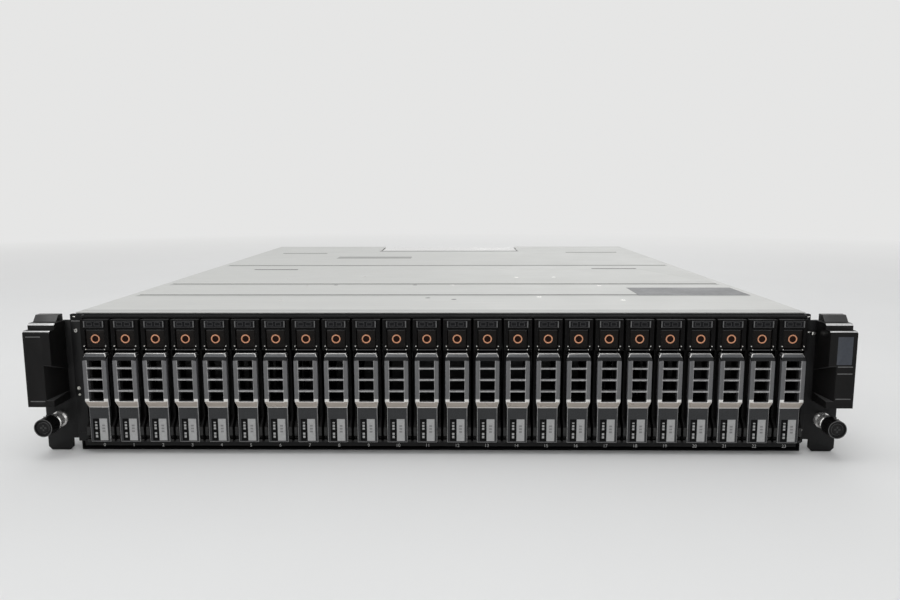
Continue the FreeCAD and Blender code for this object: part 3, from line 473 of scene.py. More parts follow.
def solids_of(shape):
    """Faces of each separate solid of a shape, the largest box first."""
    waiting = set(shape.faces)
    solids = []
    while waiting:
        reached = [waiting.pop()]
        for face in reached:
            joined = [edge for edge in face.edges if len(edge.link_faces) == 2]
            for other in (near for edge in joined for near in edge.link_faces if near in waiting):
                waiting.discard(other)
                reached.append(other)
        solids.append(reached)
    return sorted(solids, key=box_volume, reverse=True)


def paint(faces, name):
    """Give some faces a finish."""
    for face in faces:
        face.material_index = FINISH_ORDER.index(name)


def has_finish(face, name):
    """Whether a face has a finish."""
    return face.material_index == FINISH_ORDER.index(name)


def solid_copy(node, coat, place=None):
    """Shape with a node's solids, or the one at a place in the order of size, their triangles joined."""
    shape = bmesh.new()
    shape.from_mesh(NODES[node].data)
    bmesh.ops.remove_doubles(shape, verts=shape.verts, dist=WELD)
    if place is not None:
        solids = solids_of(shape)
        solids.pop(place)
        bmesh.ops.delete(shape, geom=[face for solid in solids for face in solid], context="FACES")
    bmesh.ops.join_triangles(shape, faces=shape.faces, angle_face_threshold=FLAT_ANGLE,
                             angle_shape_threshold=math.pi)
    paint(shape.faces, coat)
    return shape


def soften(shape, width, segments=2, faces=None, coat=None, skip=()):
    """Round the sharp edges of a shape, or of some of its faces, and return the rounded faces."""
    chosen = {edge for face in faces for edge in face.edges} if faces else set(shape.edges)
    sharp = [edge for edge in chosen - set(skip)
             if len(edge.link_faces) == 2 and edge.calc_face_angle() > SHARP_ANGLE]
    rounded = bmesh.ops.bevel(shape, geom=sharp, offset=width, offset_type="OFFSET", affect="EDGES",
                              segments=segments, profile=0.5, material=-1, clamp_overlap=True)["faces"]
    if coat is not None:
        paint(rounded, coat)
    return rounded


def block(shape, low, high, coat):
    """Box between two corners."""
    low, high = Vector(low), Vector(high)
    matrix = Matrix.Translation((low + high) / 2) @ Matrix.Diagonal((*(high - low), 1))
    made = bmesh.ops.create_cube(shape, size=1.0, matrix=matrix)
    faces = list({face for vert in made["verts"] for face in vert.link_faces})
    paint(faces, coat)
    return faces


def rounded_block(shape, low, high, coat, width):
    """Box between two corners with rounded edges."""
    soften(shape, width, faces=block(shape, low, high, coat))


def turn_to(axis):
    """Rotation that takes the Z axis to another."""
    return UP.rotation_difference(axis).to_matrix().to_4x4()


def disc(shape, place, axis, radius, height, coat, top=0.7, segments=20):
    """Low round head standing on a point, narrower at its top."""
    matrix = Matrix.Translation(Vector(place) + axis * height / 2) @ turn_to(axis)
    made = bmesh.ops.create_cone(shape, cap_ends=True, segments=segments, radius1=radius,
                                 radius2=radius * top, depth=height, matrix=matrix)
    paint({face for vert in made["verts"] for face in vert.link_faces}, coat)


def screw_head(shape, place, axis, radius, recess="seam_dark"):
    """Pan head with a cross recess drawn as a thin cross of painted shade."""
    height, arm, arm_width, film = 0.45 * radius, 0.5 * radius, 0.12 * radius, 0.02 * MM
    disc(shape, place, axis, radius, height, "nickel", top=0.8)
    turn = Matrix.Translation(Vector(place) + axis * height) @ turn_to(axis)
    for half in (Vector((arm, arm_width, film)), Vector((arm_width, arm, film))):
        faces = block(shape, -half, half, recess)
        verts = list({vert for face in faces for vert in face.verts})
        bmesh.ops.transform(shape, matrix=turn, verts=verts)


def spun(shape, profile, centre, steps, coat):
    """Closed ring from a closed profile, turned round an axis along the depth."""
    verts = [shape.verts.new(point) for point in profile]
    edges = [shape.edges.new((verts[index - 1], verts[index])) for index in range(len(verts))]
    before = set(shape.faces)
    bmesh.ops.spin(shape, geom=verts + edges, cent=centre, axis=REAR, angle=math.tau, steps=steps,
                   use_merge=True)
    faces = [face for face in shape.faces if face not in before]
    paint(faces, coat)
    bmesh.ops.recalc_face_normals(shape, faces=faces)


def facing(shape, direction, low, high):
    """Faces that look one way and lie within a box."""
    found = []
    for face in shape.faces:
        centre = face.calc_center_median()
        inside = all(low[axis] <= centre[axis] <= high[axis] for axis in range(3))
        if inside and face.normal.dot(direction) > FACING:
            found.append(face)
    return found


def crosses(face, low, high):
    """Whether the box round a face meets another box."""
    face_low, face_high = box_of([face])
    return all(face_low[axis] < high[axis] and face_high[axis] > low[axis] for axis in range(3))


def mark_out(shape, direction, low, high):
    """Cut the faces that look along an axis at the sides of a box, and return those inside it."""
    low, high = Vector(low), Vector(high)
    for axis in range(3):
        if direction[axis]:
            continue
        normal = Vector(1 if index == axis else 0 for index in range(3))
        for corner in (low, high):
            faces = [face for face in shape.faces
                     if face.normal.dot(direction) > FACING and crosses(face, low, high)]
            geometry = set(faces)
            for face in faces:
                geometry.update(face.edges)
                geometry.update(face.verts)
            bmesh.ops.bisect_plane(shape, geom=list(geometry), dist=WELD, plane_co=corner, plane_no=normal)
    return facing(shape, direction, low, high)


def slice_across(shape, place, normal):
    """Cut every face along a plane."""
    everything = shape.verts[:] + shape.edges[:] + shape.faces[:]
    bmesh.ops.bisect_plane(shape, geom=everything, dist=WELD, plane_co=place, plane_no=normal)


def press(shape, direction, low, high, depth, slope, coat):
    """Press a rectangle of a face inwards, with sloping walls."""
    faces = mark_out(shape, direction, low, high)
    if not faces:
        raise RuntimeError("nothing to press at this place")
    walls = bmesh.ops.inset_region(shape, faces=faces, thickness=slope, depth=-depth, use_even_offset=True)
    paint(list(walls["faces"]) + faces, coat)


# Pieces


def add_mesh(name, mesh, body, slot, *nodes):
    """Piece that rides a body and stands for some nodes."""
    piece = bpy.data.objects.new(name, mesh)
    bpy.context.scene.collection.objects.link(piece)
    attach(piece, body)
    if nodes:
        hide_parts(*nodes)


def make_mesh(name, shape):
    """Mesh of a shape with the finishes of its faces, smooth but for its sharp edges."""
    used = sorted({face.material_index for face in shape.faces})
    for face in shape.faces:
        face.material_index = used.index(face.material_index)
    mesh = bpy.data.meshes.new(name)
    shape.to_mesh(mesh)
    shape.free()
    for place in used:
        mesh.materials.append(finish(FINISH_ORDER[place]))
    mesh.shade_smooth()
    mesh.set_sharp_from_angle(angle=SHARP_ANGLE)
    return mesh


def add_piece(name, shape, body, slot, *nodes):
    """Piece made of a shape."""
    add_mesh(name, make_mesh(name, shape), body, slot, *nodes)


def bay_middle(bay):
    """Middle of a bay across the front."""
    low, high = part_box(f"drive_carrier_{bay}")
    return (low.x + high.x) / 2


def add_to_bays(name, mesh, body, slot, node):
    """Copy of the first bay's mesh in every bay."""
    first = bay_middle(BAYS[0])
    for bay in BAYS:
        copy = mesh.copy()
        copy.name = f"{name}_{bay}"
        copy.transform(Matrix.Translation((bay_middle(bay) - first, 0, 0)))
        add_mesh(f"{name}_{bay}", copy, f"{body}_{bay}", slot, f"{node}_{bay}")


def add_side_screws(name, node, columns, rows, radius, slot):
    """Rows of screws in the two side walls of a node."""
    low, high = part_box(node)
    heads = bmesh.new()
    for wall, axis in ((low.x, -X_AXIS), (high.x, X_AXIS)):
        for column in columns:
            for row in rows:
                screw_head(heads, (wall, column * MM, row), axis, radius)
    add_piece(name, heads, "enclosure", slot)


class ARRAY_OT_enclosure(bpy.types.Operator):
    """Folded tray with its partitions, its front painted matt black as shade, and its side screws"""

    bl_idname = "array.enclosure"
    bl_label = "Tray"

    def execute(self, context):
        shape = solid_copy("base_tray", "tray_steel")
        soften(shape, sizes().sheet_round)
        # The tray's front is painted matt black as shade
        slice_across(shape, (0, SHADE_END, 0), REAR)
        painted = [face for face in shape.faces if face.calc_center_median().y < SHADE_END]
        paint(painted, "frame_matt")
        add_piece("tray_sheet", shape, "enclosure", "enclosure_sheet", "base_tray")

        columns = (70, 128, 180, 300, 420, 525)
        rows = (18 * MM, 44 * MM, 66 * MM)
        add_side_screws("side_screws", "base_tray", columns, rows, sizes().side_screw, "enclosure_sheet")
        return {"FINISHED"}


# Slots pressed in the cover: middle, front edge and reach, in millimetres
COVER_SLOTS = ((-159, 250, 41), (158, 257, 42), (-169, 433, 52), (169, 445, 60))
# Bare patches on the cover: left, front, right and back in millimetres, and rise as a share of the drop
COVER_PATCHES = {"patch_dark": (139, 78.6, 217, 120, 0.5), "patch_faint": (-121, 368, -40, 391, 0.4)}
# Flat rivets, and dents painted in shade, in the cover, in millimetres
COVER_SPOTS = {
    "nickel": ((-131, 177), (7, 137), (-106, 133), (-108, 53), (-69, 195), (61, 189), (93, 191), (121, 133),
               (68, 71), (123, 56)),
    "seam_dark": ((-9, 66), (9, 59), (-22, 137), (-84, 137)),
}


def cover_sheet(low, high, skin):
    """Cover with its pressed slots in painted shade, painted shade on its bead walls and at the feet of its
    beads, and bands of painted shade for its folded hems.
    """
    size = sizes()
    under = skin - 2 * size.skin_drop
    flange_end = low.y + 5 * MM
    bead_depth = 3 * MM
    shortest_bead = 100 * MM
    shape = solid_copy("top_cover", "cover_steel")
    soften(shape, size.sheet_round)
    upper = [vert for vert in shape.verts if vert.co.z > skin - size.skin_drop]
    bmesh.ops.translate(shape, vec=(0, 0, -size.skin_drop), verts=upper)
    # Slots pressed in the cover and painted in shade
    for middle, front, reach in COVER_SLOTS:
        slot_low = ((middle - reach / 2) * MM, front * MM, under)
        slot_high = ((middle + reach / 2) * MM, front * MM + size.slot_width, high.z)
        press(shape, UP, slot_low, slot_high, size.slot_depth, size.slot_slope, "seam_dark")

    # Bead walls that face the front are painted in shade
    walls = [face for face in shape.faces
             if face.normal.y < -FACING and face.calc_center_median().y > flange_end]
    paint(walls, "seam_dark")
    # Painted shade at the foot of each long bead, on the front hem, on the fold line behind it and along the
    # rear notch
    bands = []
    for wall_low, wall_high in (box_of([face]) for face in walls):
        if wall_high.x - wall_low.x > shortest_bead:
            bands.append(("bead_steel", (wall_low.x, wall_low.y - size.bead_foot, skin - bead_depth),
                          (wall_high.x, wall_low.y, high.z)))
    hem_end = low.y + size.hem_depth
    notch_front = high.y - size.notch_depth
    bands += [
        ("hem_steel", (low.x, low.y, under), (high.x, hem_end, high.z)),
        ("patch_faint", (low.x, hem_end, under), (high.x, hem_end + size.hem_line, high.z)),
        ("patch_faint", (-size.notch_half, notch_front - size.notch_hem, under),
         (size.notch_half, notch_front, high.z)),
    ]
    for name, band_low, band_high in bands:
        paint(mark_out(shape, UP, band_low, band_high), name)
    return shape


def cover_marks(skin):
    """Bare patches, flat rivets, and dents in painted shade on the cover."""
    drop = sizes().skin_drop
    foot = skin - 0.2 * drop
    marks = bmesh.new()
    for name, (left, front, right, back, rise) in COVER_PATCHES.items():
        block(marks, (left * MM, front * MM, skin - drop), (right * MM, back * MM, skin + rise * drop), name)
    for name, places in COVER_SPOTS.items():
        for x, y in places:
            disc(marks, (x * MM, y * MM, foot), UP, sizes().rivet_radius, drop, name, top=0.6)
    return marks


class ARRAY_OT_cover(bpy.types.Operator):
    """Top cover with its beads, slots, hems, rivets, dents, bare patches and screws, and painted shade in
    slots, dents and recesses, on bead walls and feet, on hems and along the notch
    """

    bl_idname = "array.cover"
    bl_label = "Cover"

    def execute(self, context):
        low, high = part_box("top_cover")
        skin = high.z - sizes().skin_drop
        sheet = cover_sheet(low, high, skin)
        add_piece("cover_sheet", sheet, "enclosure", "cover_sheet", "top_cover")
        add_piece("cover_marks", cover_marks(skin), "enclosure", "cover_sheet")
        columns = (24, 200, 380, 520)
        rows = (high.z - 7 * MM,)
        add_side_screws("cover_screws", "top_cover", columns, rows, sizes().cover_screw, "cover_sheet")
        return {"FINISHED"}


def bay_number(text, place):
    """Mesh of a printed number that faces the front, centred on a place."""
    curve = bpy.data.curves.new("bay_number", "FONT")
    curve.body = text
    curve.size = sizes().number_height
    curve.extrude = 0.02 * MM
    curve.align_x = "CENTER"
    curve.align_y = "CENTER"
    text_object = bpy.data.objects.new("bay_number", curve)
    bpy.context.scene.collection.objects.link(text_object)
    mesh = bpy.data.meshes.new_from_object(text_object.evaluated_get(bpy.context.evaluated_depsgraph_get()))
    bpy.data.objects.remove(text_object)
    mesh.transform(Matrix.Translation(place) @ Matrix.Rotation(math.radians(90), 4, "X"))
    return mesh


def post_fittings():
    """Status strip with a painted highlight along its top, light pipes, screws with painted shade in their
    cross recesses, and bright clips on the end posts, with places in millimetres.
    """
    post = -4.0
    strip = post - 0.6
    pipe_height = 0.5
    plates = (
        ("frame_black", (-220.5, strip, 12.0), (-213.9, post, 81.6), 0.25),
        # Painted highlight along the top of the status strip
        ("window_tick", (-220.3, strip - 0.1, 81.0), (-214.1, post, 81.7), 0.2),
        ("nickel", (218.8, post - 1.2, 74.5), (222.4, post, 75.2), 0.15),
        ("nickel", (221.8, post - 1.3, 73.1), (224.4, post + 0.4, 75.0), 0.25),
        ("nickel", (-219.2, post - 0.5, 83.6), (-217.6, post, 84.3), 0.15),
        ("nickel", (218.8, post - 0.5, 83.6), (220.4, post, 84.3), 0.15),
    )
    screws = (((-217.6, strip, 75.6), 1.3), ((219.2, post, 14.6), 1.2))
    light_pipes = (((-218.4, strip, 40.0), 1.1), ((-218.2, strip, 36.0), 0.75))
    fittings = bmesh.new()
    for name, low, high, rounding in plates:
        rounded_block(fittings, mm(*low), mm(*high), name, rounding * MM)
    for place, radius in screws:
        screw_head(fittings, mm(*place), FRONT, radius * MM)
    for place, radius in light_pipes:
        disc(fittings, mm(*place), FRONT, radius * MM, pipe_height * MM, "light_pale")
    return fittings


class ARRAY_OT_cage(bpy.types.Operator):
    """Black frame round the bays with its numbers, status lights and screws"""

    bl_idname = "array.cage"
    bl_label = "Drive cage"

    def execute(self, context):
        shape = solid_copy("drive_cage", "frame_black")
        frame_round = 0.25 * MM
        soften(shape, frame_round, 1)
        paint([face for face in shape.faces if face.normal.z > LEANING], "frame_matt")
        add_piece("cage_frame", shape, "enclosure", "cage_black", "drive_cage")

        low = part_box("drive_cage")[0]
        sill_middle = (low.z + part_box(FIRST_CARRIER)[0].z) / 2
        numbers = bmesh.new()
        for bay in BAYS:
            numbers.from_mesh(bay_number(str(int(bay)), (bay_middle(bay), low.y, sill_middle)))
        paint(numbers.faces, "print_pale")
        add_piece("bay_numbers", numbers, "enclosure", "cage_black")
        add_piece("post_fittings", post_fittings(), "enclosure", "cage_black")
        return {"FINISHED"}


# Places of a carrier's solids in the order of size
SLED, DRIVE, BUTTON, WINDOW = range(4)


def carrier_box(place):
    """Corners of one solid of the first carrier."""
    solid = solid_copy(FIRST_CARRIER, "carrier_plastic", place)
    corners = box_of(solid.faces)
    solid.free()
    return corners


def add_window(shape, middle):
    """Smoked window with the grey outlines of its lights and a painted highlight tick at each end."""
    low, high = carrier_box(WINDOW)
    window_round = 0.35 * MM
    rounded_block(shape, low, high, "window_smoke", window_round)
    margin, light_half, tick_reach, tick_half = 0.3 * MM, 1.1 * MM, 5.65 * MM, 0.25 * MM
    proud, sunk, hollow, layer = 0.05 * MM, 0.3 * MM, 0.03 * MM, 0.04 * MM
    bottom, top = low.z + margin, high.z - margin
    level = (bottom + top) / 2
    light = (level - light_half, level + light_half)
    front = low.y
    for left, right, (foot, head) in ((-5.4, 5.4, (bottom, top)), (-4.2, -0.9, light), (0.5, 3.8, light)):
        pane = block(shape, (middle + left * MM, front - proud, foot),
                     (middle + right * MM, front + sunk, head), "window_line")
        glass = [face for face in pane if face.normal.dot(FRONT) > FACING]
        bmesh.ops.inset_region(shape, faces=glass, thickness=sizes().window_line, depth=-hollow)
        paint(glass, "window_smoke")
        front -= layer
    # Painted highlight ticks at the window's ends
    for side in SIDES.values():
        tick = middle + side * tick_reach
        block(shape, (tick - tick_half, front - proud, bottom), (tick + tick_half, front + sunk, top),
              "window_tick")


def carrier_sled():
    """Sled of the first bay with painted highlights on the fronts of its arms, its window, pins, and a
    painted highlight along the lower edge of its head.
    """
    shape = solid_copy(FIRST_CARRIER, "carrier_plastic", SLED)
    soften(shape, sizes().moulding_round)
    low, high = box_of(shape.faces)
    arm_depth, arm_top = 0.2 * MM, 20 * MM
    # The fronts of the arms get a painted highlight
    arms = facing(shape, FRONT, (low.x, low.y - MM, low.z), (high.x, low.y + arm_depth, arm_top))
    paint(arms, "arm_grey")
    middle = bay_middle(BAYS[0])
    add_window(shape, middle)

    head_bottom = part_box(FIRST_CARRIER)[1].z - sizes().head_height
    pin_height = 0.4 * MM
    for reach, rise, radius in ((6.4, 2.6, 0.55), (5.6, 0.6, 0.5)):
        for side in SIDES.values():
            place = (middle + side * reach * MM, HEAD_FACE, head_bottom + rise * MM)
            disc(shape, place, FRONT, radius * MM, pin_height, "nickel", top=0.6, segments=10)
    # Painted highlight along the lower edge of the head
    head_edge = Vector((middle, HEAD_FACE, head_bottom))
    edge_round = 0.1 * MM
    rounded_block(shape, head_edge + mm(-4.9, -0.2, 0.1), head_edge + mm(4.9, 0.2, 0.6), "window_line",
                  edge_round)
    return make_mesh("carrier", shape)


def release_button():
    """Square button with its orange ring, and a painted highlight along its upper edge."""
    size = sizes()
    low, high = carrier_box(BUTTON)
    front = low.y + size.ring_relief
    shape = bmesh.new()
    body = block(shape, (low.x, front, low.z), high, "button_black")
    rounded = soften(shape, size.button_round, faces=body)
    # Painted highlight on the button's upper rounded edge
    brow = [face for face in rounded if face.normal.z > LEANING and face.normal.y < -LEANING]
    paint(brow, "window_line")

    centre = Vector(((low.x + high.x) / 2, front, (low.z + high.z) / 2))
    major, minor, flatness, corners = size.ring_major, size.ring_minor, 0.7, 8
    profile = []
    for corner in range(corners):
        turn = math.tau * corner / corners
        along = flatness * minor * math.sin(turn)
        profile.append(centre + Vector((major + minor * math.cos(turn), along, 0)))
    spun(shape, profile, centre, 24, "ring_orange")
    eye_radius, eye_height = major - 0.6 * minor, 0.15 * MM
    disc(shape, centre, FRONT, eye_radius, eye_height, "ring_eye", top=0.3)
    return make_mesh("release_button", shape)


def drive_unit():
    """Drive with its lid, its board and its connector."""
    shape = solid_copy(FIRST_CARRIER, "drive_shell", DRIVE)
    low, high = box_of(shape.faces)
    soften(shape, sizes().drive_round)
    lid_corner = Vector((low.x, high.y, high.z))
    board_corner = Vector((high.x, low.y, low.z))
    plug_corner = Vector((low.x, high.y, low.z))
    plug_end = Vector((high.x, high.y, low.z))
    lid_depth, lid_slope = 0.4 * MM, 0.8 * MM
    board_depth, board_slope = 1.2 * MM, 0.3 * MM
    press(shape, -X_AXIS, low + mm(-1, 5, 5), lid_corner + mm(1, -8, -5), lid_depth, lid_slope, "drive_lid")
    press(shape, X_AXIS, board_corner + mm(-1, 30, 4), high + mm(1, -6, -4), board_depth, board_slope,
          "board_green")
    screw_radius, screw_height = 1.3 * MM, 0.08 * MM
    for y in (12, 88):
        for corner, z in ((low.z, 3), (high.z, -3)):
            place = Vector((low.x, low.y, corner)) + mm(0.1, y, z)
            disc(shape, place, -X_AXIS, screw_radius, screw_height, "drive_lid", top=0.9, segments=10)
    block(shape, plug_corner + mm(4, -0.3, 12), plug_end + mm(-4, 0, 48), "connector_black")
    paint([face for face in shape.faces if face.normal.y < -LEANING], "connector_black")
    return make_mesh("drive", shape)


class ARRAY_OT_carriers(bpy.types.Operator):
    """Carriers with their windows, release buttons and drives"""

    bl_idname = "array.carriers"
    bl_label = "Drive carriers"

    def execute(self, context):
        meshes = {"carrier": carrier_sled(), "release_button": release_button(), "drive": drive_unit()}
        for name, mesh in meshes.items():
            add_to_bays(name, mesh, "carrier", "carrier_black", "drive_carrier")
        return {"FINISHED"}


def handle_finish(face, middle, lip_foot):
    """Finish of one face of a handle, from its place and from whether it is a rounded edge."""
    size = sizes()
    centre = face.calc_center_median()
    rounded = has_finish(face, "handle_rim")
    turned_front = face.normal.y < -0.2
    if centre.z < size.chin_low:
        # Pivot pins beyond the panel are painted black as shade; the panel's rounded front edges get a
        # painted highlight
        if abs(centre.x - middle) > size.panel_width / 2:
            return "label_black"
        return "handle_edge" if rounded and turned_front else "panel_grey"
    # Chin: silver with a painted warm reflection, with painted highlights on its lower strip, prongs and
    # rounded edges
    if centre.z < size.prong_top and face.normal.y < -LEANING:
        on_face = size.chin_low + size.chin_strip < centre.z < size.chin_top
        return "chin_warm" if on_face and not rounded else "chin_edge"
    # Lip: painted shade on its foot, painted highlight on its upper part and its rounded edges
    if centre.z > lip_foot:
        if centre.z < lip_foot + size.lip_split:
            return "lip_dark"
        return "chin_edge" if rounded else "lip_grey"
    # Front faces inside the ladder get a painted highlight, rounded edges another
    inside = abs(centre.x - middle) < size.ladder_opening / 2 + size.handle_round
    if inside and turned_front:
        return "handle_edge"
    return "handle_rim" if rounded else "handle_grey"


def add_label(shape, middle):
    """Label in a dark and a pale half, each with a column of plain marks in place of print."""
    size = sizes()
    film_face = PANEL_FACE - size.label_film
    mark_face = PANEL_FACE - 1.4 * size.label_film
    for name, left, right in (("label_black", -4.3, -0.3), ("label_pale", -0.3, 4.4)):
        block(shape, (middle + left * MM, film_face, size.label_low),
              (middle + right * MM, PANEL_FACE, size.label_top), name)
    dark_column = ((19.7, 20.5), (17.6, 18.9), (15.8, 17.0), (12.6, 13.9), (10.6, 12.0))
    pale_column = ((14.0, 15.1), (15.8, 16.9), (17.6, 18.7))
    columns = (("print_grey", -3.0, -1.7, dark_column), ("print_dark", 1.2, 2.9, pale_column))
    for name, left, right, marks in columns:
        for bottom, top in marks:
            block(shape, (middle + left * MM, mark_face, bottom * MM),
                  (middle + right * MM, PANEL_FACE, top * MM), name)


def handle_lever():
    """Ladder handle of the first bay with its chin and label, painted highlights on its edges, rungs, chin
    and lip, and painted shade on the lip's foot and the pivot pins.
    """
    size = sizes()
    shape = solid_copy(FIRST_HANDLE, "handle_grey")
    low, high = box_of(shape.faces)
    middle = (low.x + high.x) / 2
    lip_foot = high.z - size.lip_height
    # Every rounded edge starts with a painted highlight
    soften(shape, size.handle_round, coat="handle_rim")
    for level in (size.chin_low, size.chin_low + size.chin_strip, size.chin_top, size.prong_top,
                  lip_foot + size.lip_split):
        slice_across(shape, (0, 0, level), UP)
    for face in shape.faces:
        paint([face], handle_finish(face, middle, lip_foot))
    add_label(shape, middle)
    return make_mesh("handle", shape)


class ARRAY_OT_handles(bpy.types.Operator):
    """Ladder handles of the carriers"""

    bl_idname = "array.handles"
    bl_label = "Carrier handles"

    def execute(self, context):
        add_to_bays("handle", handle_lever(), "handle", "handle_grey", "carrier_handle")
        return {"FINISHED"}


# Places of an ear's solids in the order of size
EAR_BRACKET, EAR_COVER = range(2)
# Fine grooves across the ear covers, filled with painted highlight lines, as heights in millimetres
EAR_GROOVES = {"left": (74.6, 36.0), "right": (57.2, 53.1, 38.1)}


def ear_ferrule(centre):
    """Turned ferrule round the thumbscrew's neck, with two shoulders and a groove between them."""
    outer, bore = sizes().ferrule_radius, sizes().ferrule_bore
    waist = outer - 0.8 * MM
    chamfer = 1.5 * MM
    front, back = FERRULE_FRONT, FERRULE_BACK
    section = ((bore, front), (outer - chamfer, front), (outer, front + chamfer),
               (outer, front + 3.4 * MM), (waist, front + 4.0 * MM), (waist, back - 2.6 * MM),
               (outer, back - 1.6 * MM), (outer, back), (bore, back))
    shape = bmesh.new()
    profile = [Vector((centre.x + radius, y, centre.z)) for radius, y in section]
    spun(shape, profile, centre, 40, "ferrule_chrome")
    return shape


def brighten_ledges(shape, low, high):
    """Painted highlight on the bevel of an ear cover's upper ledge, and on the upper half of the lower
    ledge's bevel.
    """
    tower, ledge_height, front_depth = 8 * MM, 4 * MM, 2 * MM
    steps = sorted({round(vert.co.y / MM, 3) for vert in shape.verts if vert.co.z > high.z - tower})
    ledge_front = next(step * MM for step in steps if step * MM > low.y + front_depth)
    for vert in shape.verts:
        if vert.co.z > high.z - WELD and vert.co.y < high.y - WELD:
            vert.co.y += sizes().tower_lean
    brink = [edge for edge in shape.edges
             if all(abs(vert.co.y - ledge_front) < WELD and vert.co.z > high.z - ledge_height
                    for vert in edge.verts)]
    upper = bmesh.ops.bevel(shape, geom=brink, offset=sizes().ledge_bevel, offset_type="OFFSET",
                            affect="EDGES", segments=1, profile=0.5, material=-1)["faces"]
    paint(upper, "ear_ledge")
    strip_end = Vector((high.x, low.y + front_depth, high.z))
    brow_low, brow_high = box_of(facing(shape, BROW, low, strip_end))
    brow_middle = (brow_low + brow_high) / 2
    slice_across(shape, brow_middle, UP)
    paint(facing(shape, BROW, (low.x, low.y, brow_middle.z), strip_end), "ear_ledge")


def ear_cover(node, side, sign):
    """Stepped cover of an ear with painted highlights on its ledges and sloped faces, a leaning top, fine
    grooves filled with painted highlight and a bare label place.
    """
    shape = solid_copy(node, "ear_plastic", EAR_COVER)
    low, high = box_of(shape.faces)
    brighten_ledges(shape, low, high)
    lean_start = high.z - 3 * MM
    scoop_low, scoop_high = 36 * MM, 58 * MM
    # Leaning faces of the top and sloped faces of the scoop get a painted highlight
    for face in shape.faces:
        level = face.calc_center_median().z
        leaning = face.normal.y < -0.5 and level > lean_start
        scooped = abs(face.normal.z) > 0.1 and face.normal.y < -0.02 and scoop_low < level < scoop_high
        if leaning or scooped:
            paint([face], "ear_slope")
    kept = {edge for face in shape.faces if has_finish(face, "ear_ledge") for edge in face.edges}
    soften(shape, sizes().cap_round, 3, skip=kept)

    skin_front, skin_back = low.y - MM, low.y + 0.5 * MM
    inner, outer = sorted((sign * 230.9 * MM, sign * 239.6 * MM))
    groove_half, groove_depth, groove_slope = 0.3, 0.25 * MM, 0.2 * MM
    # Grooves filled with painted highlight lines
    for level in EAR_GROOVES[side]:
        press(shape, FRONT, (inner, skin_front, (level - groove_half) * MM),
              (outer, skin_back, (level + groove_half) * MM), groove_depth, groove_slope, "window_tick")
    if side == "right":
        label_depth, label_slope = 0.2 * MM, 0.25 * MM
        press(shape, FRONT, (230.1 * MM, skin_front, 58.4 * MM), (238.8 * MM, skin_back, 74.8 * MM),
              label_depth, label_slope, "label_blue")
    return shape


class ARRAY_OT_ears(bpy.types.Operator):
    """Rack ears: brackets, covers and ferrules"""

    bl_idname = "array.ears"
    bl_label = "Rack ears"

    def execute(self, context):
        for side, sign in SIDES.items():
            node = f"rack_ear_{side}"
            bracket = solid_copy(node, "frame_black", EAR_BRACKET)
            soften(bracket, sizes().sheet_round)
            screw_low, screw_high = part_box(f"thumbscrew_{side}")
            ferrule = ear_ferrule((screw_low + screw_high) / 2)
            cover = ear_cover(node, side, sign)
            add_piece(f"ear_bracket_{side}", bracket, "enclosure", "ear_black", node)
            add_piece(f"ear_cover_{side}", cover, "enclosure", "ear_black", node)
            add_piece(f"ear_ferrule_{side}", ferrule, "enclosure", "ear_black", node)
        return {"FINISHED"}


def thumbscrew(low, high):
    """Ribbed knob with a ringed face, painted highlights on two of its rings and a cross recess drawn in
    painted shade, on its neck and thread.
    """
    centre = (low + high) / 2
    radius = (high.x - low.x) / 2
    knob_depth = KNOB_BACK - low.y
    shape = bmesh.new()
    matrix = Matrix.Translation((centre.x, low.y + knob_depth / 2, centre.z)) @ turn_to(FRONT)
    bmesh.ops.create_cone(shape, cap_ends=True, segments=2 * sizes().knob_ribs, radius1=radius,
                          radius2=radius, depth=knob_depth, matrix=matrix)
    paint(shape.faces, "knob_plastic")
    grip = [face for face in shape.faces if abs(face.normal.y) < 0.5]
    grip.sort(key=lambda face: math.atan2(face.normal.z, face.normal.x))
    groove_margin, groove_depth = 0.14 * MM, 0.3 * MM
    bmesh.ops.inset_individual(shape, faces=grip[::2], thickness=groove_margin, depth=-groove_depth)

    cap = facing(shape, FRONT, low - mm(1, 1, 1), high)
    # Two of the rings get a painted highlight
    rings = (("knob_edge", 0.45, 0.0), ("knob_plastic", 0.5, -0.9), ("knob_plastic", 0.9, 0.0),
             ("knob_edge", 0.3, 0.5))
    for name, width, rise in rings:
        ring = bmesh.ops.inset_region(shape, faces=cap, thickness=width * MM, depth=rise * MM)
        paint(ring["faces"], name)
    face_middle = Vector((centre.x, low.y + 0.4 * MM, centre.z))
    # The cross recess is a thin cross of painted shade
    for across, along in ((1.9, 0.5), (0.5, 1.9)):
        block(shape, face_middle + mm(-across, -0.03, -along), face_middle + mm(across, 0.2, along),
              "connector_black")

    neck = (KNOB_BACK, NECK_END, 2.0 * MM, 1.0)
    thread = (NECK_END, high.y, 2.4 * MM, 0.92)
    for start, end, rod_radius, top in (neck, thread):
        disc(shape, (centre.x, start, centre.z), REAR, rod_radius, end - start, "thread_steel", top)
    return shape


class ARRAY_OT_thumbscrews(bpy.types.Operator):
    """Thumbscrews with ribbed knobs and a cross recess drawn in painted shade"""

    bl_idname = "array.thumbscrews"
    bl_label = "Thumbscrews"

    def execute(self, context):
        for side in SIDES:
            node = f"thumbscrew_{side}"
            add_piece(f"thumbscrew_knob_{side}", thumbscrew(*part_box(node)), node, "knob_black", node)
        return {"FINISHED"}


class ARRAY_OT_midplane(bpy.types.Operator):
    """Midplane board with its plugs"""

    bl_idname = "array.midplane"
    bl_label = "Midplane"

    def execute(self, context):
        shape = solid_copy("midplane", "board_green")
        for plug in solids_of(shape)[1:]:
            paint(plug, "connector_black")
        board_round = 0.3 * MM
        soften(shape, board_round, 1)
        add_piece("midplane_board", shape, "enclosure", "circuit_board", "midplane")
        return {"FINISHED"}


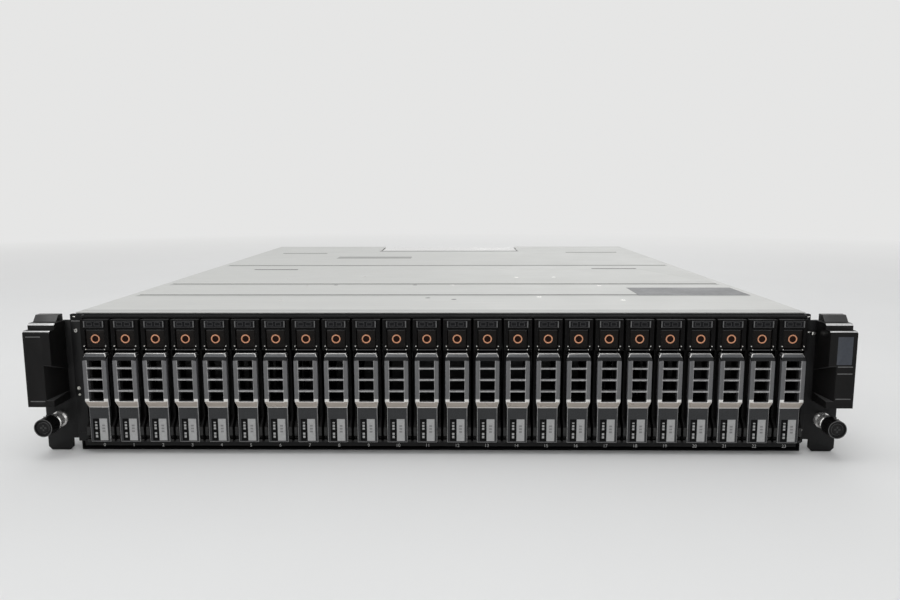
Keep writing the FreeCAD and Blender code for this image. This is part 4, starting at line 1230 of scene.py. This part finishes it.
# Finishes of a module's solids, from the largest box down
POWER_SOLIDS = ("module_zinc", "fan_black", "sink_aluminium", "fan_black", "board_green",
                "connector_black", "connector_black", "grille_steel", "touch_plastic",
                "nickel", "nickel", "nickel")
CONTROLLER_SOLIDS = ("module_zinc", "board_green", "nickel", "nickel", "touch_plastic", "touch_plastic")


def module_solids(node, finishes):
    """Softened solids of a module, each in its finish, and the corners of the housing."""
    shape = solid_copy(node, "module_zinc")
    solids = solids_of(shape)
    for faces, name in zip(solids, finishes):
        paint(faces, name)
    low, high = box_of(solids[0])
    soften(shape, sizes().sheet_round, 1)
    return shape, low, high


def light_row(shape, first, count, radius):
    """Row of light pipes at the rear of a module."""
    pitch, height = 7 * MM, 0.5 * MM
    for step in range(count):
        disc(shape, first + step * pitch * X_AXIS, REAR, radius, height, "light_green")


class ARRAY_OT_power_modules(bpy.types.Operator):
    """Power and cooling modules at the rear"""

    bl_idname = "array.power_modules"
    bl_label = "Power modules"

    def execute(self, context):
        inset = 5 * MM
        for side in SIDES:
            node = f"power_module_{side}"
            shape, low, high = module_solids(node, POWER_SOLIDS)
            # Screws with painted shade in their cross recesses
            for x in (low.x + inset, high.x - inset):
                for z in (low.z + inset, high.z - inset):
                    screw_head(shape, (x, high.y, z), REAR, sizes().power_screw, "connector_black")
            light_row(shape, Vector((high.x, high.y, low.z)) + mm(-36, 0, 33), count=3, radius=1.3 * MM)
            add_piece(f"{node}_looks", shape, node, "module_sheet", node)
        return {"FINISHED"}


class ARRAY_OT_controllers(bpy.types.Operator):
    """Controller modules at the rear"""

    bl_idname = "array.controllers"
    bl_label = "Controllers"

    def execute(self, context):
        first_vent, vent_pitch, vent_width, vent_count = -42, 7.6, 4.6, 11
        vent_depth, vent_slope = 0.8 * MM, 0.2 * MM
        inset = 6 * MM
        for level in ("lower", "upper"):
            node = f"controller_{level}"
            shape, low, high = module_solids(node, CONTROLLER_SOLIDS)
            paint(facing(shape, UP, (low.x, low.y, high.z - 0.5 * MM), high + mm(0, 0, 1)), "roof_zinc")
            # Vents pressed and painted black as shade
            for step in range(vent_count):
                left = (first_vent + step * vent_pitch) * MM
                press(shape, REAR, (left, high.y - 0.5 * MM, low.z + 29 * MM),
                      (left + vent_width * MM, high.y + MM, low.z + 36 * MM), vent_depth, vent_slope,
                      "connector_black")
            # Screws with painted shade in their cross recesses
            for x in (low.x + inset, high.x - inset):
                screw_head(shape, (x, high.y, low.z + 10 * MM), REAR, sizes().controller_screw,
                           "connector_black")
            light_row(shape, Vector((0, high.y, low.z)) + mm(50, 0, 15), count=4, radius=1.2 * MM)
            add_piece(f"{node}_looks", shape, node, "module_sheet", node)
        return {"FINISHED"}


# Stage


def add_floor():
    """Round floor whose rim curves up into a backdrop."""
    reach, rise, bend = 4.6, 2.2, 1.2
    floor = bmesh.new()
    middle = floor.verts.new((0, 0, 0))
    corner = floor.verts.new((reach, 0, 0))
    rim = floor.verts.new((reach, 0, rise))
    floor.edges.new((middle, corner))
    floor.edges.new((corner, rim))
    bmesh.ops.bevel(floor, geom=[corner], offset=bend, offset_type="OFFSET", affect="VERTICES",
                    segments=10, profile=0.5, material=-1)
    bmesh.ops.spin(floor, geom=floor.verts[:] + floor.edges[:], cent=(0, 0, 0), axis=UP, angle=math.tau,
                   steps=72, use_merge=True)
    bmesh.ops.remove_doubles(floor, verts=floor.verts, dist=WELD)
    bmesh.ops.recalc_face_normals(floor, faces=floor.faces)
    paint(floor.faces, "stage_white")
    bowl = bpy.data.objects.new("stage_floor", make_mesh("stage_floor", floor))
    bpy.context.scene.collection.objects.link(bowl)


def add_lamp(name, place, target, size, power):
    """Soft square lamp that looks at a point."""
    light = bpy.data.lights.new(name, "AREA")
    light.size = size
    light.energy = power
    lamp = bpy.data.objects.new(name, light)
    lamp.location = place
    lamp.rotation_euler = (Vector(target) - Vector(place)).to_track_quat("-Z", "Y").to_euler()
    bpy.context.scene.collection.objects.link(lamp)


def add_lights(stage):
    """Lamps overhead, in front, at the side and behind, in an evenly lit room."""
    key, fill = stage.key_power, stage.fill_power
    add_lamp("key_lamp", place=(-0.3, -0.2, 1.9), target=(0, 0.15, 0), size=1.6, power=key)
    add_lamp("fill_lamp", place=(-0.9, -1.7, 0.9), target=(0, 0, 0.05), size=1.2, power=fill)
    add_lamp("side_lamp", place=(1.5, -1.1, 0.8), target=(0, 0, 0.05), size=1.0, power=0.4 * fill)
    add_lamp("rear_lamp", place=(0.6, 2.4, 1.2), target=(0, 0.5, 0.05), size=1.4, power=fill)
    world = bpy.data.worlds.new("room")
    world.use_nodes = True
    background = world.node_tree.nodes["Background"]
    background.inputs["Color"].default_value = (1, 1, 1, 1)
    background.inputs["Strength"].default_value = stage.world_strength
    bpy.context.scene.world = world
    bpy.context.scene.view_settings.view_transform = "Standard"


def add_camera(stage):
    """Camera at the photo's viewing angle."""
    lens = bpy.data.cameras.new("photo_camera")
    lens.lens = stage.lens
    lens.sensor_width = 36.0
    lens.clip_start = 0.01
    lens.clip_end = 30.0
    camera = bpy.data.objects.new("photo_camera", lens)
    turn = Matrix.Rotation(stage.camera_yaw, 4, "Z") @ Matrix.Rotation(stage.camera_pitch, 4, "X")
    roll = Matrix.Rotation(stage.camera_roll, 4, "Y") @ Matrix.Rotation(math.radians(90), 4, "X")
    camera.matrix_world = Matrix.Translation(stage.camera_place) @ turn @ roll
    bpy.context.scene.collection.objects.link(camera)
    bpy.context.scene.camera = camera


class ARRAY_OT_stage(bpy.types.Operator):
    """Pale floor that curves up into a backdrop, soft lamps and the camera"""

    bl_idname = "array.stage"
    bl_label = "Stage"

    def execute(self, context):
        add_floor()
        add_lights(context.scene.array_stage)
        add_camera(context.scene.array_stage)
        return {"FINISHED"}


# Add-on


GROUPS = {"array_sizes": ArraySizes, "array_colours": ArrayColours, "array_stage": ArrayStage}
OPERATORS = (
    ARRAY_OT_enclosure, ARRAY_OT_cover, ARRAY_OT_cage, ARRAY_OT_carriers, ARRAY_OT_handles, ARRAY_OT_ears,
    ARRAY_OT_thumbscrews, ARRAY_OT_midplane, ARRAY_OT_power_modules, ARRAY_OT_controllers, ARRAY_OT_stage,
)


class ARRAY_PT_looks(bpy.types.Panel):
    """Panel with the steps and the values of the looks"""

    bl_label = "Storage array"
    bl_idname = "ARRAY_PT_looks"
    bl_space_type = "VIEW_3D"
    bl_region_type = "UI"
    bl_category = "Storage array"

    def draw(self, context):
        for operator in OPERATORS:
            self.layout.operator(operator.bl_idname)
        for group_name in GROUPS:
            group = getattr(context.scene, group_name)
            column = self.layout.column()
            for name in group.__annotations__:
                column.prop(group, name)


CLASSES = (*GROUPS.values(), *OPERATORS, ARRAY_PT_looks)


def register():
    """Register the classes and put the values on the scene."""
    for item in CLASSES:
        bpy.utils.register_class(item)
    for name, group in GROUPS.items():
        setattr(bpy.types.Scene, name, PointerProperty(type=group))


def unregister():
    """Take the values and the classes away again."""
    for name in GROUPS:
        delattr(bpy.types.Scene, name)
    for item in reversed(CLASSES):
        bpy.utils.unregister_class(item)


def main():
    """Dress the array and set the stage."""
    register()
    bpy.ops.array.enclosure()
    bpy.ops.array.cover()
    bpy.ops.array.cage()
    bpy.ops.array.carriers()
    bpy.ops.array.handles()
    bpy.ops.array.ears()
    bpy.ops.array.thumbscrews()
    bpy.ops.array.midplane()
    bpy.ops.array.power_modules()
    bpy.ops.array.controllers()
    bpy.ops.array.stage()


if __name__ == "__main__":
    main()
